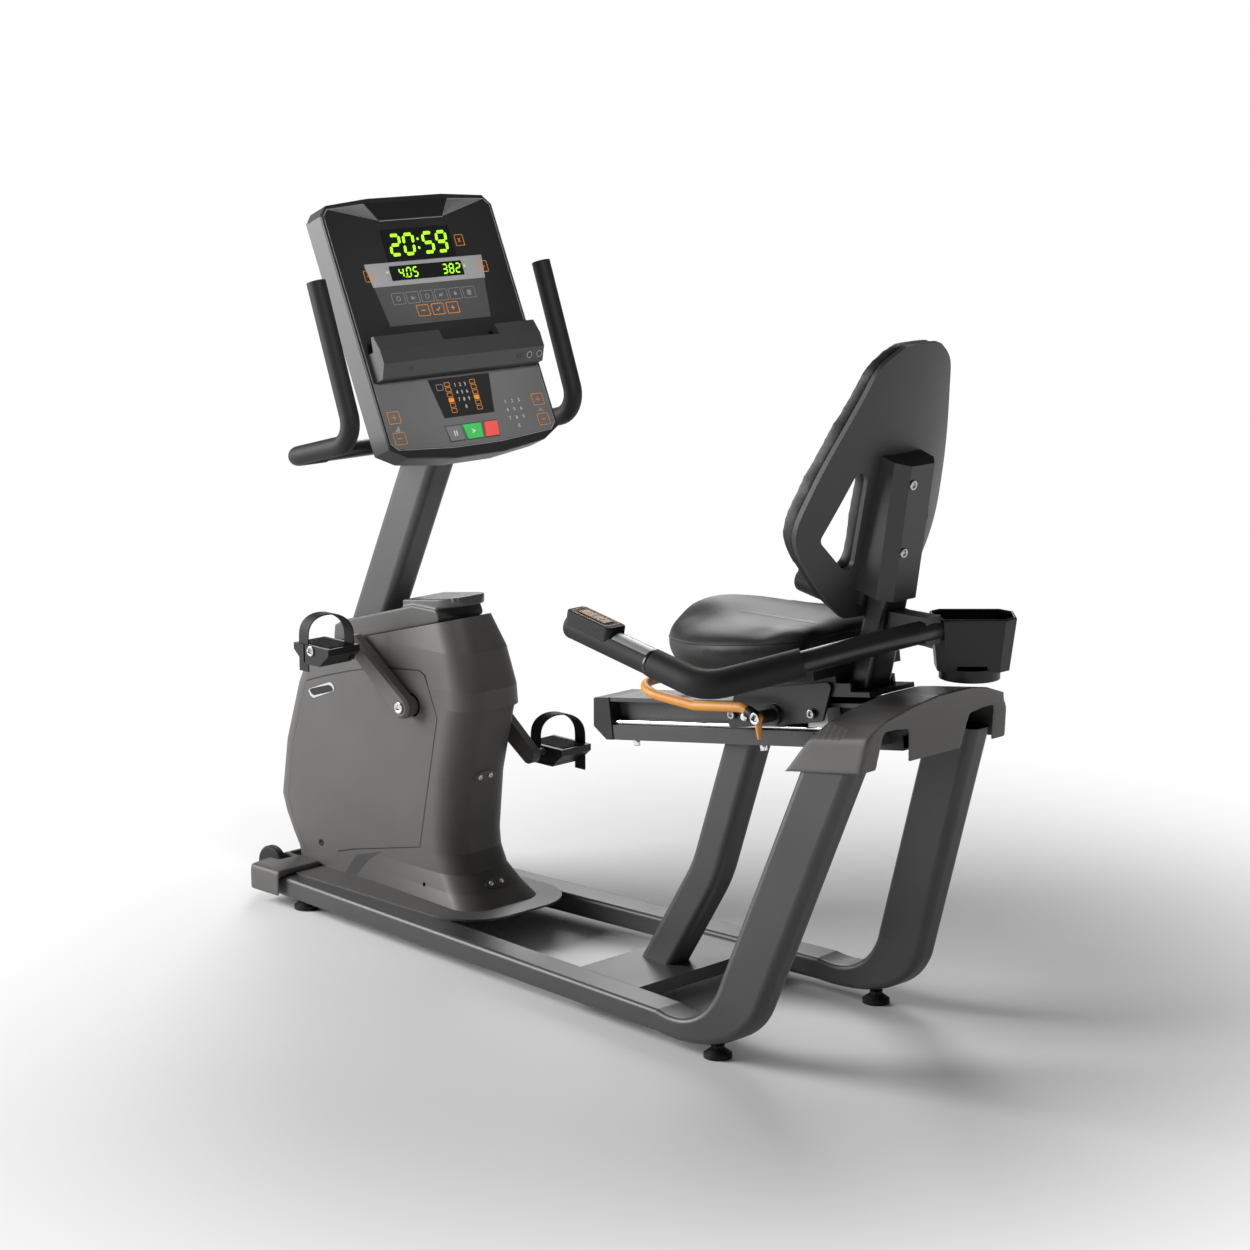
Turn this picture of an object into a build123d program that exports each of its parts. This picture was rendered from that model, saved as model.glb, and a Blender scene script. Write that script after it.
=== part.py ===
from build123d import *
from math import cos, radians, sin
import os

os.makedirs("parts", exist_ok=True)

# Recumbent exercise bike. Millimetres, +X to the rear (console to seat), +Y to the
# rider's right, +Z up, the floor at Z 0. "left" is the rider's left, at -Y.

# Fits
RUN = 0.06            # radial clearance of a turning or sliding fit
GAP = 0.4             # clearance of a moving piece or of a panel seam
WALL = 3.0            # wall of tubes and mouldings

# Floor rails and legs
RAIL_W = 64.0
RAIL_T = 40.0
RAIL_Z = 42.0
RAIL_R = 8.0
RAIL_X0 = -722.0
RAIL_X1 = 371.0
RAIL_Y0 = 137.5
RAIL_Y1 = 201.0
LEG_W = 50.0
LEG_D = 100.0
LEG_FOOT = (551.0, -200.0, 125.0)
FOOT_R = 24.0
STEM_R = 6.0
FOOT_FRONT = -660.0
FOOT_REAR = 484.0

# Front beam, cover and transport wheels
BEAM_D = 40.0
BEAM_HALF = 165.0
WHEEL_X = -800.0
WHEEL_Z = 54.0
WHEEL_R = 36.0
WHEEL_Y = 110.0
WHEEL_HALF = 9.0
PIN_R = 4.0
COVER_FRONT = -796.0
COVER_CORNER = -778.0
COVER_REAR = -690.0
COVER_TOP = 75.0
COVER_HALF = 186.0

# Cross beam, seat post and base plate
CROSS_X0 = 96.0
CROSS_X1 = 250.0
CROSS_Z0 = 30.0
CROSS_Z1 = 54.0
POST_D = 68.0
POST_W = 54.0
BASE_T = 4.0
BASE_REAR = -190.0
BASE_HALF = 145.0
BASE_CORNER = 100.0

# Shroud of the drive: height, front, rear, half width at the rear
SHROUD_HALF = 78.0
SHROUD_CORNER = 40.0
SHROUD_REAR_R = SHROUD_HALF - 26.0
SHROUD_STRAIGHT = -530.0
SHROUD_LOWER = [
    (66, -775, -238, 96), (90, -781, -266, 86), (120, -800, -297, SHROUD_HALF),
    (155, -819, -314, SHROUD_HALF), (188, -830, -317, SHROUD_HALF), (300, -812, -306, SHROUD_HALF),
    (419, -772, -277, SHROUD_HALF), (436, -763, -272, SHROUD_HALF)]
SHROUD_UPPER = [
    (436, -763, -264, SHROUD_HALF), (472, -745, -268, SHROUD_HALF), (540, -700, -290, SHROUD_HALF - 4),
    (600, -640, -324, SHROUD_HALF - 14), (640, -600, -376, SHROUD_HALF - 22)]
TOP_A = (-700.0, 500.0)
TOP_B = (-330.0, 600.0)
PANEL = [
    (-733, 66), (-640, 66), (-640, 104), (-596, 117), (-401, 160), (-348, 417), (-381, 492),
    (-396, 499), (-496, 490), (-596, 467), (-676, 444), (-723, 428), (-729, 419), (-769, 300), (-787, 188),
    (-776, 155), (-757, 120), (-738, 90)]
CAP_HALF = SHROUD_HALF - 18.0
TRAY_HALF = 52.0
TRAY_REAR = -330.0
TRAY_CORNER = 46.0

# Drive
CRANK = (-418.0, 430.0)
CRANK_LEN = 170.0
CRANK_ANGLE = 36.12
AXLE_R = 10.0
ARM_IN = 87.0
ARM_OUT = 109.0
ARM_R0 = 22.0
ARM_R1 = 17.0
SPINDLE_R = 7.0
PEDAL_IN = 128.0
PEDAL_OUT = 204.0
PEDAL_LEN = 100.0
STRAP_W = 26.0
STRAP_T = 2.5
STRAP_RISE = 67.0
STRAP_SKEW = 26.0
STRAP_INSET = 5.0
PLATE_IN = 31.0
PLATE_OUT = 37.0
FLY = (-600.0, 230.0)
FLY_R = 140.0
FLY_HALF = 28.0
FLY_AXLE_R = 6.0
PULLEY_IN = 41.0
PULLEY_OUT = 53.0
PULLEY_R = 70.0
SMALL_R = 17.5
BELT_T = 2.0
BEARING_WALL = 10.0

# Mast and console
MAST_D = 84.0
MAST_W = 2 * PLATE_IN
MAST_LEAN = 25.0
MAST_AT = (-581.0, 600.0)
CON_TILT = 24.0
CON_AT = (-402.7, 0.0, 1121.0)
CON_HALF = 207.0
CON_BACK = -62.0
FACE_T = 4.0
HANDLE_R = 16.0
GRIP_T = 1.5
HANDLE_TOP = (-274.0, 106.0, 14.0)
HANDLE_LOW = (-274.0, -182.0, -6.0)
HANDLE_BACK = (-268.0, -148.0, -205.0)
KEY_TRAVEL = 1.5
KEYS = {
    "pause_key": [(-66, -178), (-30, -178), (-28, -206), (-62, -206)],
    "start_key": [(-25, -178), (20, -178), (17, -206), (-20, -206)],
    "stop_key": [(28, -178), (61, -178), (57, -206), (23, -206)]}

# Seat rail and carriage; lengths along the rail from its lower front corner, heights square to it
SEAT_AT = (68.0, 0.0, 443.0)
SEAT_TILT = 8.3
SR_HALF = 44.0
SR_BOX = 26.0
SR_WEB = 20.0
SR_TOP = 75.0
SR_PLATE = 7.0
SR_A0 = 12.0
ROD_R = 5.0
ROD_Y = 34.0
CAR_IN = 56.0
CAR_OUT = 62.0
BRIDGE_Z = 88.0
BRIDGE_T = 8.0
BRIDGE_A0 = 337.0
BRIDGE_A1 = 630.0
RAIL_PAST = 50.0
SR_A1 = BRIDGE_A1 + RAIL_PAST
RIB_TOP = 110.0
LEVER_AT = (475.0, 560.0)
LEVER_R = 8.5
LEVER_HALF = 100.0

# Seat: station along the rail, half width, underside, edge height, crown height
PAN_TOP = 140.0
CUSHION = [
    (188, 52, 172, 200, 218), (198, 72, 156, 198, 235), (222, 97, 146, 195, 246),
    (260, 125, PAN_TOP, 194, 252), (300, 150, PAN_TOP, 194, 250), (345, 170, PAN_TOP, 196, 243),
    (430, 184, PAN_TOP, 198, 230), (505, 170, PAN_TOP, 200, 219), (552, 150, PAN_TOP, 202, 211),
    (574, 134, 146, 198, 204)]

# Handlebar beside the seat
BAR_R = 19.0
BAR_Y = 285.0
BAR_BEND = 70.0
BAR_TIP = (228.0, 708.0)
BAR_ELBOW = (530.0, 650.0)
BAR_APEX = (772.0, 742.0)
GRIP_R = 22.5
SLEEVE_R = 24.0

# Back rest, in its own leaning frame
BACK_AT = (589.0, 0.0, 735.0)
BACK_LEAN = 13.3
BACK_R = 340.0
PAD_T = 28.0
SHELL_T = 8.0
BACK_HALF = [
    (60, 16), (98, 47), (142, 98), (170, 145), (173, 168), (167, 205), (152, 262), (125, 340),
    (99, 410), (82, 446), (53, 470), (0, 480)]
BACK_HOLE = [(134, 152), (70, 322), (60, 82)]
MOUNT_N = -44.0
BPOST_D = 42.0
BPOST_HALF = 30.0

# Tops of the legs under the end of the rail, and the rear cover over them
LEG_RISE = 6.8379
LEG_TOP = (SR_A1 + 19.0, -149.0, SEAT_AT[2] + SR_A1 * sin(radians(SEAT_TILT)) + LEG_RISE)
HOOD_FRONT = (BRIDGE_A1 - 88.5, -15.0)
HOOD_TOP_FRONT = (BRIDGE_A1 + 17.0, 92.0)
HOOD_REAR = [(SR_A1 + 86.0, 92.0), (SR_A1 + 47.0, 48.0), (SR_A1 + 28.0, -15.0)]
HOOD_HALF = [(40, 92), (90, 84), (150, 66), (176, 40), (184, -15)]

# Cup holder
CUP = (767.0, 88.0)
CUP_R = 50.0
CUP_Z0 = 646.0
CUP_Z1 = 662.0
CUP_Z2 = 748.0
CUP_RIM = [(-64, -30), (-48, -46), (52, -46), (72, -26), (72, 26), (52, 46), (-48, 46), (-64, 30)]

NODES = {}


def block(x0, x1, y0, y1, z0, z1):
    return Pos((x0 + x1) / 2, (y0 + y1) / 2, (z0 + z1) / 2) * Box(x1 - x0, y1 - y0, z1 - z0)


def prism(points, y0, y1):
    wire = Polyline(*[(x, y0, z) for x, z in points], close=True)
    return extrude(make_face(wire), amount=y1 - y0, dir=(0, 1, 0))


def plate(points, z0, z1):
    wire = Polyline(*[(x, y, z0) for x, y in points], close=True)
    return extrude(make_face(wire), amount=z1 - z0, dir=(0, 0, 1))


def across(x, z, radius, y0, y1):
    frame = Plane(origin=(x, y0, z), x_dir=(1, 0, 0), z_dir=(0, 1, 0))
    return frame * Cylinder(radius, y1 - y0, align=(Align.CENTER, Align.CENTER, Align.MIN))


def upright(x, y, radius, z0, z1):
    return Pos(x, y, z0) * Cylinder(radius, z1 - z0, align=(Align.CENTER, Align.CENTER, Align.MIN))


def sweep_round(path, radius):
    start = Plane(origin=path @ 0, z_dir=path % 0)
    return sweep(start * Circle(radius), path=path)


def pipe(path, radius, wall):
    return sweep_round(path, radius) - sweep_round(path, radius - wall)


def both(shape):
    return shape + mirror(shape, about=Plane.XZ)


def pair(stem, shape):
    NODES[stem + "_left"] = shape
    NODES[stem + "_right"] = mirror(shape, about=Plane.XZ)


# Frames of the seat rail, the console, the back rest and the mast
SEAT = Plane(origin=SEAT_AT, x_dir=(cos(radians(SEAT_TILT)), 0, sin(radians(SEAT_TILT))),
             z_dir=(-sin(radians(SEAT_TILT)), 0, cos(radians(SEAT_TILT))))
CONSOLE = Plane(origin=CON_AT, x_dir=(0, 1, 0),
                z_dir=(cos(radians(CON_TILT)), 0, sin(radians(CON_TILT))))
BACK = Plane(origin=BACK_AT, x_dir=(0, -1, 0),
             z_dir=(-cos(radians(BACK_LEAN)), 0, sin(radians(BACK_LEAN))))
MAST = Plane(origin=(MAST_AT[0], 0, MAST_AT[1]), x_dir=(0, 1, 0),
             z_dir=(sin(radians(MAST_LEAN)), 0, cos(radians(MAST_LEAN))))
RAIL_TOP = RAIL_Z + RAIL_T / 2
RAIL_BASE = RAIL_Z - RAIL_T / 2
BASE_TOP = RAIL_TOP + BASE_T


def rail_y(x):
    return -(RAIL_Y0 + (x + 730) * (RAIL_Y1 - RAIL_Y0) / (RAIL_X1 + 730))


def foot(x, y):
    stem = upright(x, y, STEM_R, 8, RAIL_BASE + 12)
    nut = Pos(x, y, RAIL_BASE - 7) * extrude(RegularPolygon(12, 6), amount=7)
    pad = upright(x, y, FOOT_R, 0, 7)
    cone = Pos(x, y, 7) * Cone(FOOT_R, 13, 8, align=(Align.CENTER, Align.CENTER, Align.MIN))
    return stem + nut + pad + cone


def build_floor():
    slope = (RAIL_Y1 - RAIL_Y0) / (RAIL_X1 + 730)
    along = Vector(1, -slope, 0).normalized()
    side = Vector(slope, 1, 0).normalized()
    start = Vector(RAIL_X0 - 20, rail_y(RAIL_X0 - 20), RAIL_Z)
    end = Vector(RAIL_X1, rail_y(RAIL_X1), RAIL_Z)
    at = Plane(origin=start, x_dir=side, z_dir=along)
    length = (end - start).length
    tube = extrude(at * RectangleRounded(RAIL_W, RAIL_T, RAIL_R), amount=length)
    tube -= extrude(at * RectangleRounded(RAIL_W - 2 * WALL, RAIL_T - 2 * WALL, RAIL_R - WALL), amount=length)
    tube -= block(RAIL_X0 - 60, RAIL_X0, -400, 0, 0, 200)
    front_foot = foot(FOOT_FRONT, rail_y(FOOT_FRONT))
    rear_foot = foot(FOOT_REAR, -201.5)
    tube -= upright(FOOT_FRONT, rail_y(FOOT_FRONT), STEM_R, 0, RAIL_BASE + 12)
    pair("rail", tube)

    top = Vector(*LEG_TOP)
    base = Vector(*LEG_FOOT)
    up = (top - base).normalized()
    turns = [
        (Vector(RAIL_X1 + 84, rail_y(RAIL_X1 + 60), 45), 6, 62, 46, 10),
        (Vector(RAIL_X1 + 147, -203, 77), 45, 56, 78, 14)]

    def sections(less):
        grow = []
        cut = 2 * less
        grow.append(Plane(origin=end, x_dir=side, z_dir=along)
                    * RectangleRounded(RAIL_W - cut, RAIL_T - cut, RAIL_R - less))
        for point, tilt, wide, deep, corner in turns:
            frame = Plane(origin=point, x_dir=(0, 1, 0), z_dir=(cos(radians(tilt)), 0, sin(radians(tilt))))
            grow.append(frame * RectangleRounded(wide - cut, deep - cut, corner - less))
        grow.append(leg_frame(base) * RectangleRounded(LEG_W - cut, LEG_D - cut, 16 - less))
        return grow

    def leg_frame(point):
        across_leg = Vector(0, 1, 0) - up * up.Y
        return Plane(origin=point, x_dir=across_leg.normalized(), z_dir=up)

    reach = (top - base).length + 60
    outer = loft(sections(0))
    outer += extrude(leg_frame(base) * RectangleRounded(LEG_W, LEG_D, 16), amount=reach)
    inner = loft(sections(WALL))
    inner += extrude(leg_frame(base) * RectangleRounded(LEG_W - 2 * WALL, LEG_D - 2 * WALL, 16 - WALL),
                     amount=reach)
    leg = outer - inner
    leg -= block(LEG_TOP[0] - 400, LEG_TOP[0] + 300, -400, 400, LEG_TOP[2], LEG_TOP[2] + 200)
    leg -= upright(FOOT_REAR, -201.5, STEM_R, 0, RAIL_BASE + 12)
    rear_foot -= leg
    pair("leg", leg)
    NODES["levelling_feet"] = both(front_foot + rear_foot)

    beam = block(RAIL_X0 - BEAM_D, RAIL_X0, -BEAM_HALF, BEAM_HALF, RAIL_BASE, RAIL_TOP)
    beam -= block(RAIL_X0 - BEAM_D + WALL, RAIL_X0 - WALL, -BEAM_HALF, BEAM_HALF,
                  RAIL_BASE + WALL, RAIL_TOP - WALL)
    for inner_y in (WHEEL_Y - WHEEL_HALF - 6, WHEEL_Y + WHEEL_HALF + 1):
        lug = block(WHEEL_X - 8, RAIL_X0 - BEAM_D, inner_y, inner_y + 5, WHEEL_Z - 14, WHEEL_Z + 8)
        beam += both(lug)
    pin = across(WHEEL_X, WHEEL_Z, PIN_R, WHEEL_Y - WHEEL_HALF - 6, WHEEL_Y + WHEEL_HALF + 6)
    NODES["front_beam"] = beam + both(pin)
    wheel = across(WHEEL_X, WHEEL_Z, WHEEL_R, -WHEEL_Y - WHEEL_HALF, -WHEEL_Y + WHEEL_HALF)
    wheel = fillet(wheel.edges(), 5)
    wheel -= across(WHEEL_X, WHEEL_Z, PIN_R + RUN, -WHEEL_Y - 30, -WHEEL_Y + 30)
    pair("transport_wheel", wheel)

    def cover_plan(less):
        corner = COVER_HALF - less
        points = [(COVER_FRONT + less, 90 - less), (COVER_CORNER + less, corner), (COVER_REAR, corner)]
        return points + [(x, -y) for x, y in reversed(points)]

    cover = plate(cover_plan(0), 24, COVER_TOP)
    cover = fillet(cover.edges().filter_by(lambda e: e.center().X < COVER_REAR - 1 and e.center().Z > 26), 8)
    cover -= plate(cover_plan(4), 0, RAIL_TOP)
    cover -= block(COVER_FRONT + 12, COVER_REAR + 20, -SHROUD_HALF - 3, SHROUD_HALF + 3, 0, 200)
    room = WHEEL_HALF + 9
    window = block(COVER_FRONT - 40, WHEEL_X + WHEEL_R + 6, WHEEL_Y - room, WHEEL_Y + room, 0, 200)
    NODES["front_cover"] = cover - both(window)

    half = RAIL_W / 2 * (1 + slope ** 2) ** 0.5

    def inner_y(x):
        return -rail_y(x) - half

    outline = [(CROSS_X0, -inner_y(CROSS_X0)), (CROSS_X1, -inner_y(CROSS_X1)),
               (CROSS_X1, inner_y(CROSS_X1)), (CROSS_X0, inner_y(CROSS_X0))]
    cross = plate(outline, CROSS_Z0, CROSS_Z1)
    cross -= block(CROSS_X0 + WALL, CROSS_X1 - WALL, -300, 300, CROSS_Z0 + WALL, CROSS_Z1 - WALL)
    NODES["cross_beam"] = cross

    path = FilletPolyline((411, 0, 630), (280, 0, 238), (146, 0, 22), radius=260)
    at = Plane(origin=path @ 0, x_dir=(0, 1, 0), z_dir=path % 0)
    post = sweep(at * RectangleRounded(POST_W, POST_D, 14), path=path)
    post -= sweep(at * RectangleRounded(POST_W - 2 * WALL, POST_D - 2 * WALL, 11), path=path)
    post -= block(0, 500, -100, 100, -50, CROSS_Z1)
    post -= SEAT * block(0, 800, -100, 100, 0, 300)
    NODES["seat_post"] = post

    rim = [(-772, -74), (-686, -74), (-686, -BASE_HALF), (BASE_REAR, -BASE_HALF), (BASE_REAR, BASE_HALF),
           (-686, BASE_HALF), (-686, 74), (-772, 74)]
    base_plate = plate(rim, RAIL_TOP, BASE_TOP)
    base_plate = fillet(base_plate.edges().filter_by(Axis.Z).sort_by(Axis.X)[-2:], BASE_CORNER)
    NODES["base_plate"] = base_plate


def shroud_section(z, front, rear, half_rear, less):
    front += less
    rear -= less
    half = SHROUD_HALF - less
    half_rear -= less
    corner = SHROUD_CORNER - less
    a = (front, 0, z)
    b = (front, -(half - corner), z)
    mid = (front + corner * (1 - cos(radians(45))), -(half - corner * (1 - cos(radians(45)))), z)
    c = (front + corner, -half, z)
    turn = SHROUD_REAR_R - less
    d = (SHROUD_STRAIGHT, -half, z)
    e = (rear - turn, -half_rear, z)
    bend = (rear - turn * (1 - cos(radians(45))), -(half_rear - turn * (1 - cos(radians(45)))), z)
    f = (rear, -(half_rear - turn), z)
    g = (rear, 0, z)
    return make_face([Line(a, b), ThreePointArc(b, mid, c), Line(c, d), Line(d, e),
                      ThreePointArc(e, bend, f), Line(f, g), Line(g, a)])


def build_shroud():
    def half_shell(table):
        outer = loft([shroud_section(*row, 0) for row in table], ruled=True)
        return outer - loft([shroud_section(*row, WALL) for row in table], ruled=True)

    shell = half_shell(SHROUD_LOWER) + half_shell(SHROUD_UPPER)
    shell -= prism([TOP_A, TOP_B, (TOP_B[0] + 370, TOP_B[1] + 100), (TOP_B[0] + 370, 900),
                    (TOP_A[0] - 370, 900), (TOP_A[0] - 370, TOP_A[1] - 100)], -200, 200)
    hole = across(CRANK[0], CRANK[1], 22, -200, 0)
    panel = prism(PANEL, -SHROUD_HALF, -SHROUD_HALF + WALL) - hole
    ring = offset(make_face(Polyline(*PANEL, close=True)), amount=GAP)
    ring = Plane(origin=(0, -50, 0), x_dir=(1, 0, 0), z_dir=(0, -1, 0)) * ring
    shell -= extrude(ring, amount=60)
    for x, z in ((-384, 92), (-690, 112)):
        bore = across(x, z, 4, -100, -60)
        shell -= bore
        panel -= bore
    pair("shroud", shell)
    pair("side_panel", panel)

    mast_hole = MAST * Pos(0, 0, -200) * extrude(RectangleRounded(MAST_W + 1, MAST_D + 1, 14.5), amount=500)
    drop = (TOP_B[1] - TOP_A[1]) / (TOP_B[0] - TOP_A[0])

    def top_z(x):
        return TOP_A[1] + (x - TOP_A[0]) * drop

    body = prism([(-668, top_z(-668)), (-362, top_z(-362)), (-372, 612), (-440, 612), (-640, 556),
                  (-664, 543)], -CAP_HALF + 4, CAP_HALF - 4)
    body = fillet(body.edges().filter_by(Axis.Y).sort_by(Axis.Z)[-3:], 8)
    tray = prism([(-470, 602), (TRAY_REAR, 621), (TRAY_REAR - 8, 638), (-470, 619)], -CAP_HALF, CAP_HALF)
    around = Pos(TRAY_REAR - 100, 0, 560) * RectangleRounded(200, 2 * TRAY_HALF, TRAY_CORNER)
    tray = tray & extrude(around, amount=120)
    NODES["top_cap"] = body + tray - mast_hole


def build_drive():
    outline = [(-700, BASE_TOP), (-350, BASE_TOP), (-374, 470), (-704, 470)]
    side = prism(outline, -PLATE_OUT, -PLATE_IN)
    bush = AXLE_R + BEARING_WALL
    fly_bush = FLY_AXLE_R + BEARING_WALL
    side -= across(CRANK[0], CRANK[1], bush, -100, 0)
    side -= across(FLY[0], FLY[1], fly_bush, -100, 0)
    tie = block(-420, -396, -PLATE_IN, PLATE_IN, 120, 150)
    NODES["drive_bracket"] = both(side) + tie + block(-690, -670, -PLATE_IN, PLATE_IN, BASE_TOP, 86)

    def bearing(at, bore, outside):
        ring = across(at[0], at[1], outside, -PLATE_OUT, -PLATE_IN)
        ring += across(at[0], at[1], outside + 4, -PLATE_OUT - 2, -PLATE_OUT)
        return ring - across(at[0], at[1], bore + RUN, -100, 0)

    NODES["bearings"] = both(bearing(CRANK, AXLE_R, bush) + bearing(FLY, FLY_AXLE_R, fly_bush))

    wheel = across(FLY[0], FLY[1], FLY_R, -FLY_HALF, FLY_HALF)
    dish = across(FLY[0], FLY[1], FLY_R - 28, 8, FLY_HALF) - across(FLY[0], FLY[1], 24, 8, FLY_HALF)
    wheel -= both(dish)
    wheel += across(FLY[0], FLY[1], FLY_AXLE_R, -PLATE_OUT - 4, PULLEY_OUT + 2)
    NODES["flywheel"] = wheel + across(FLY[0], FLY[1], SMALL_R, PULLEY_IN, PULLEY_OUT)
    disc = across(CRANK[0], CRANK[1], PULLEY_R, PULLEY_IN, PULLEY_OUT)
    disc -= across(CRANK[0], CRANK[1], AXLE_R, 0, 100)
    for turn in range(5):
        angle = radians(72 * turn)
        disc -= across(CRANK[0] + 40 * cos(angle), CRANK[1] + 40 * sin(angle), 14, 0, 100)
    NODES["drive_pulley"] = disc

    def loop(extra):
        dx = CRANK[0] - FLY[0]
        dz = CRANK[1] - FLY[1]
        span = (dx ** 2 + dz ** 2) ** 0.5
        big = PULLEY_R + extra
        small = SMALL_R + extra
        swing = (big - small) / span
        ux, uz = dx / span, dz / span
        rise = (1 - swing ** 2) ** 0.5
        points = []
        for sign in (1, -1):
            nx = -ux * swing - sign * uz * rise
            nz = -uz * swing + sign * ux * rise
            on_crank = (CRANK[0] + big * nx, CRANK[1] + big * nz)
            on_wheel = (FLY[0] + small * nx, FLY[1] + small * nz)
            points.append((on_crank, on_wheel))
        hull = prism([points[0][0], points[0][1], points[1][1], points[1][0]], PULLEY_IN + 1, PULLEY_OUT - 1)
        hull += across(CRANK[0], CRANK[1], big, PULLEY_IN + 1, PULLEY_OUT - 1)
        return hull + across(FLY[0], FLY[1], small, PULLEY_IN + 1, PULLEY_OUT - 1)

    NODES["drive_belt"] = loop(GAP + BELT_T) - loop(GAP)
    brake = block(FLY[0] - 60, FLY[0] + 60, -PLATE_IN, PLATE_IN, FLY[1] + 110, FLY[1] + 172)
    brake -= across(FLY[0], FLY[1], FLY_R + 3, -100, 100)
    NODES["brake_unit"] = brake

    NODES["crank_axle"] = across(CRANK[0], CRANK[1], AXLE_R, -ARM_OUT + 4, ARM_OUT - 4)
    ux, uz = cos(radians(CRANK_ANGLE)), sin(radians(CRANK_ANGLE))
    for name, sign in (("left", -1), ("right", 1)):
        ex = CRANK[0] + sign * CRANK_LEN * ux
        ez = CRANK[1] - sign * CRANK_LEN * uz
        nx, nz = sign * uz, sign * ux
        y0, y1 = sorted((sign * ARM_IN, sign * ARM_OUT))
        arm = prism([(CRANK[0] + ARM_R0 * nx, CRANK[1] + ARM_R0 * nz), (ex + ARM_R1 * nx, ez + ARM_R1 * nz),
                     (ex - ARM_R1 * nx, ez - ARM_R1 * nz), (CRANK[0] - ARM_R0 * nx, CRANK[1] - ARM_R0 * nz)],
                    y0, y1)
        arm += across(CRANK[0], CRANK[1], ARM_R0, y0, y1)
        arm += across(ex, ez, ARM_R1, y0, y1)
        face = arm.faces().sort_by(Axis.Y)[0 if sign < 0 else -1]
        arm = chamfer(face.edges(), 5)
        b0, b1 = sorted((sign * (SHROUD_HALF + 1.5), sign * ARM_IN))
        arm += across(CRANK[0], CRANK[1], ARM_R0 - 3, b0, b1)
        s0, s1 = sorted((sign * (ARM_OUT - 2), sign * (PEDAL_OUT - 6)))
        arm += across(ex, ez, SPINDLE_R, s0, s1)
        arm -= across(CRANK[0], CRANK[1], AXLE_R, -ARM_OUT + 4, ARM_OUT - 4)
        NODES["crank_" + name] = arm

        p0, p1 = sorted((sign * PEDAL_IN, sign * PEDAL_OUT))
        half = PEDAL_LEN / 2
        tread = prism([(ex - half, ez - 2), (ex - half, ez + 10), (ex + half, ez + 10), (ex + half, ez - 2),
                       (ex + half - 14, ez - 14), (ex + 24, ez - 26), (ex - 24, ez - 26),
                       (ex - half + 14, ez - 14)], p0, p1)
        s0, s1 = sorted((sign * (PEDAL_IN - 1), sign * (PEDAL_OUT - 6 + 1)))
        tread -= across(ex, ez, SPINDLE_R + RUN, s0, s1)

        inner = PEDAL_IN + STRAP_INSET
        outer = PEDAL_OUT - STRAP_INSET
        near = Vector(ex - sign * STRAP_SKEW, sign * inner, ez - 20)
        far = Vector(ex + sign * STRAP_SKEW, sign * outer, ez - 42)
        high = Vector(0, 0, ez + STRAP_RISE)
        path = FilletPolyline(near, (near.X, near.Y, high.Z), (far.X, far.Y, high.Z), far, radius=32)
        reach = Vector(far.X - near.X, far.Y - near.Y, 0).normalized()
        at = Plane(origin=path @ 0, x_dir=(reach.Y, -reach.X, 0), z_dir=path % 0)
        band = sweep(at * Rectangle(STRAP_W, STRAP_T), path=path)
        NODES["pedal_" + name] = tread - band
        NODES["strap_" + name] = band


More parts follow.
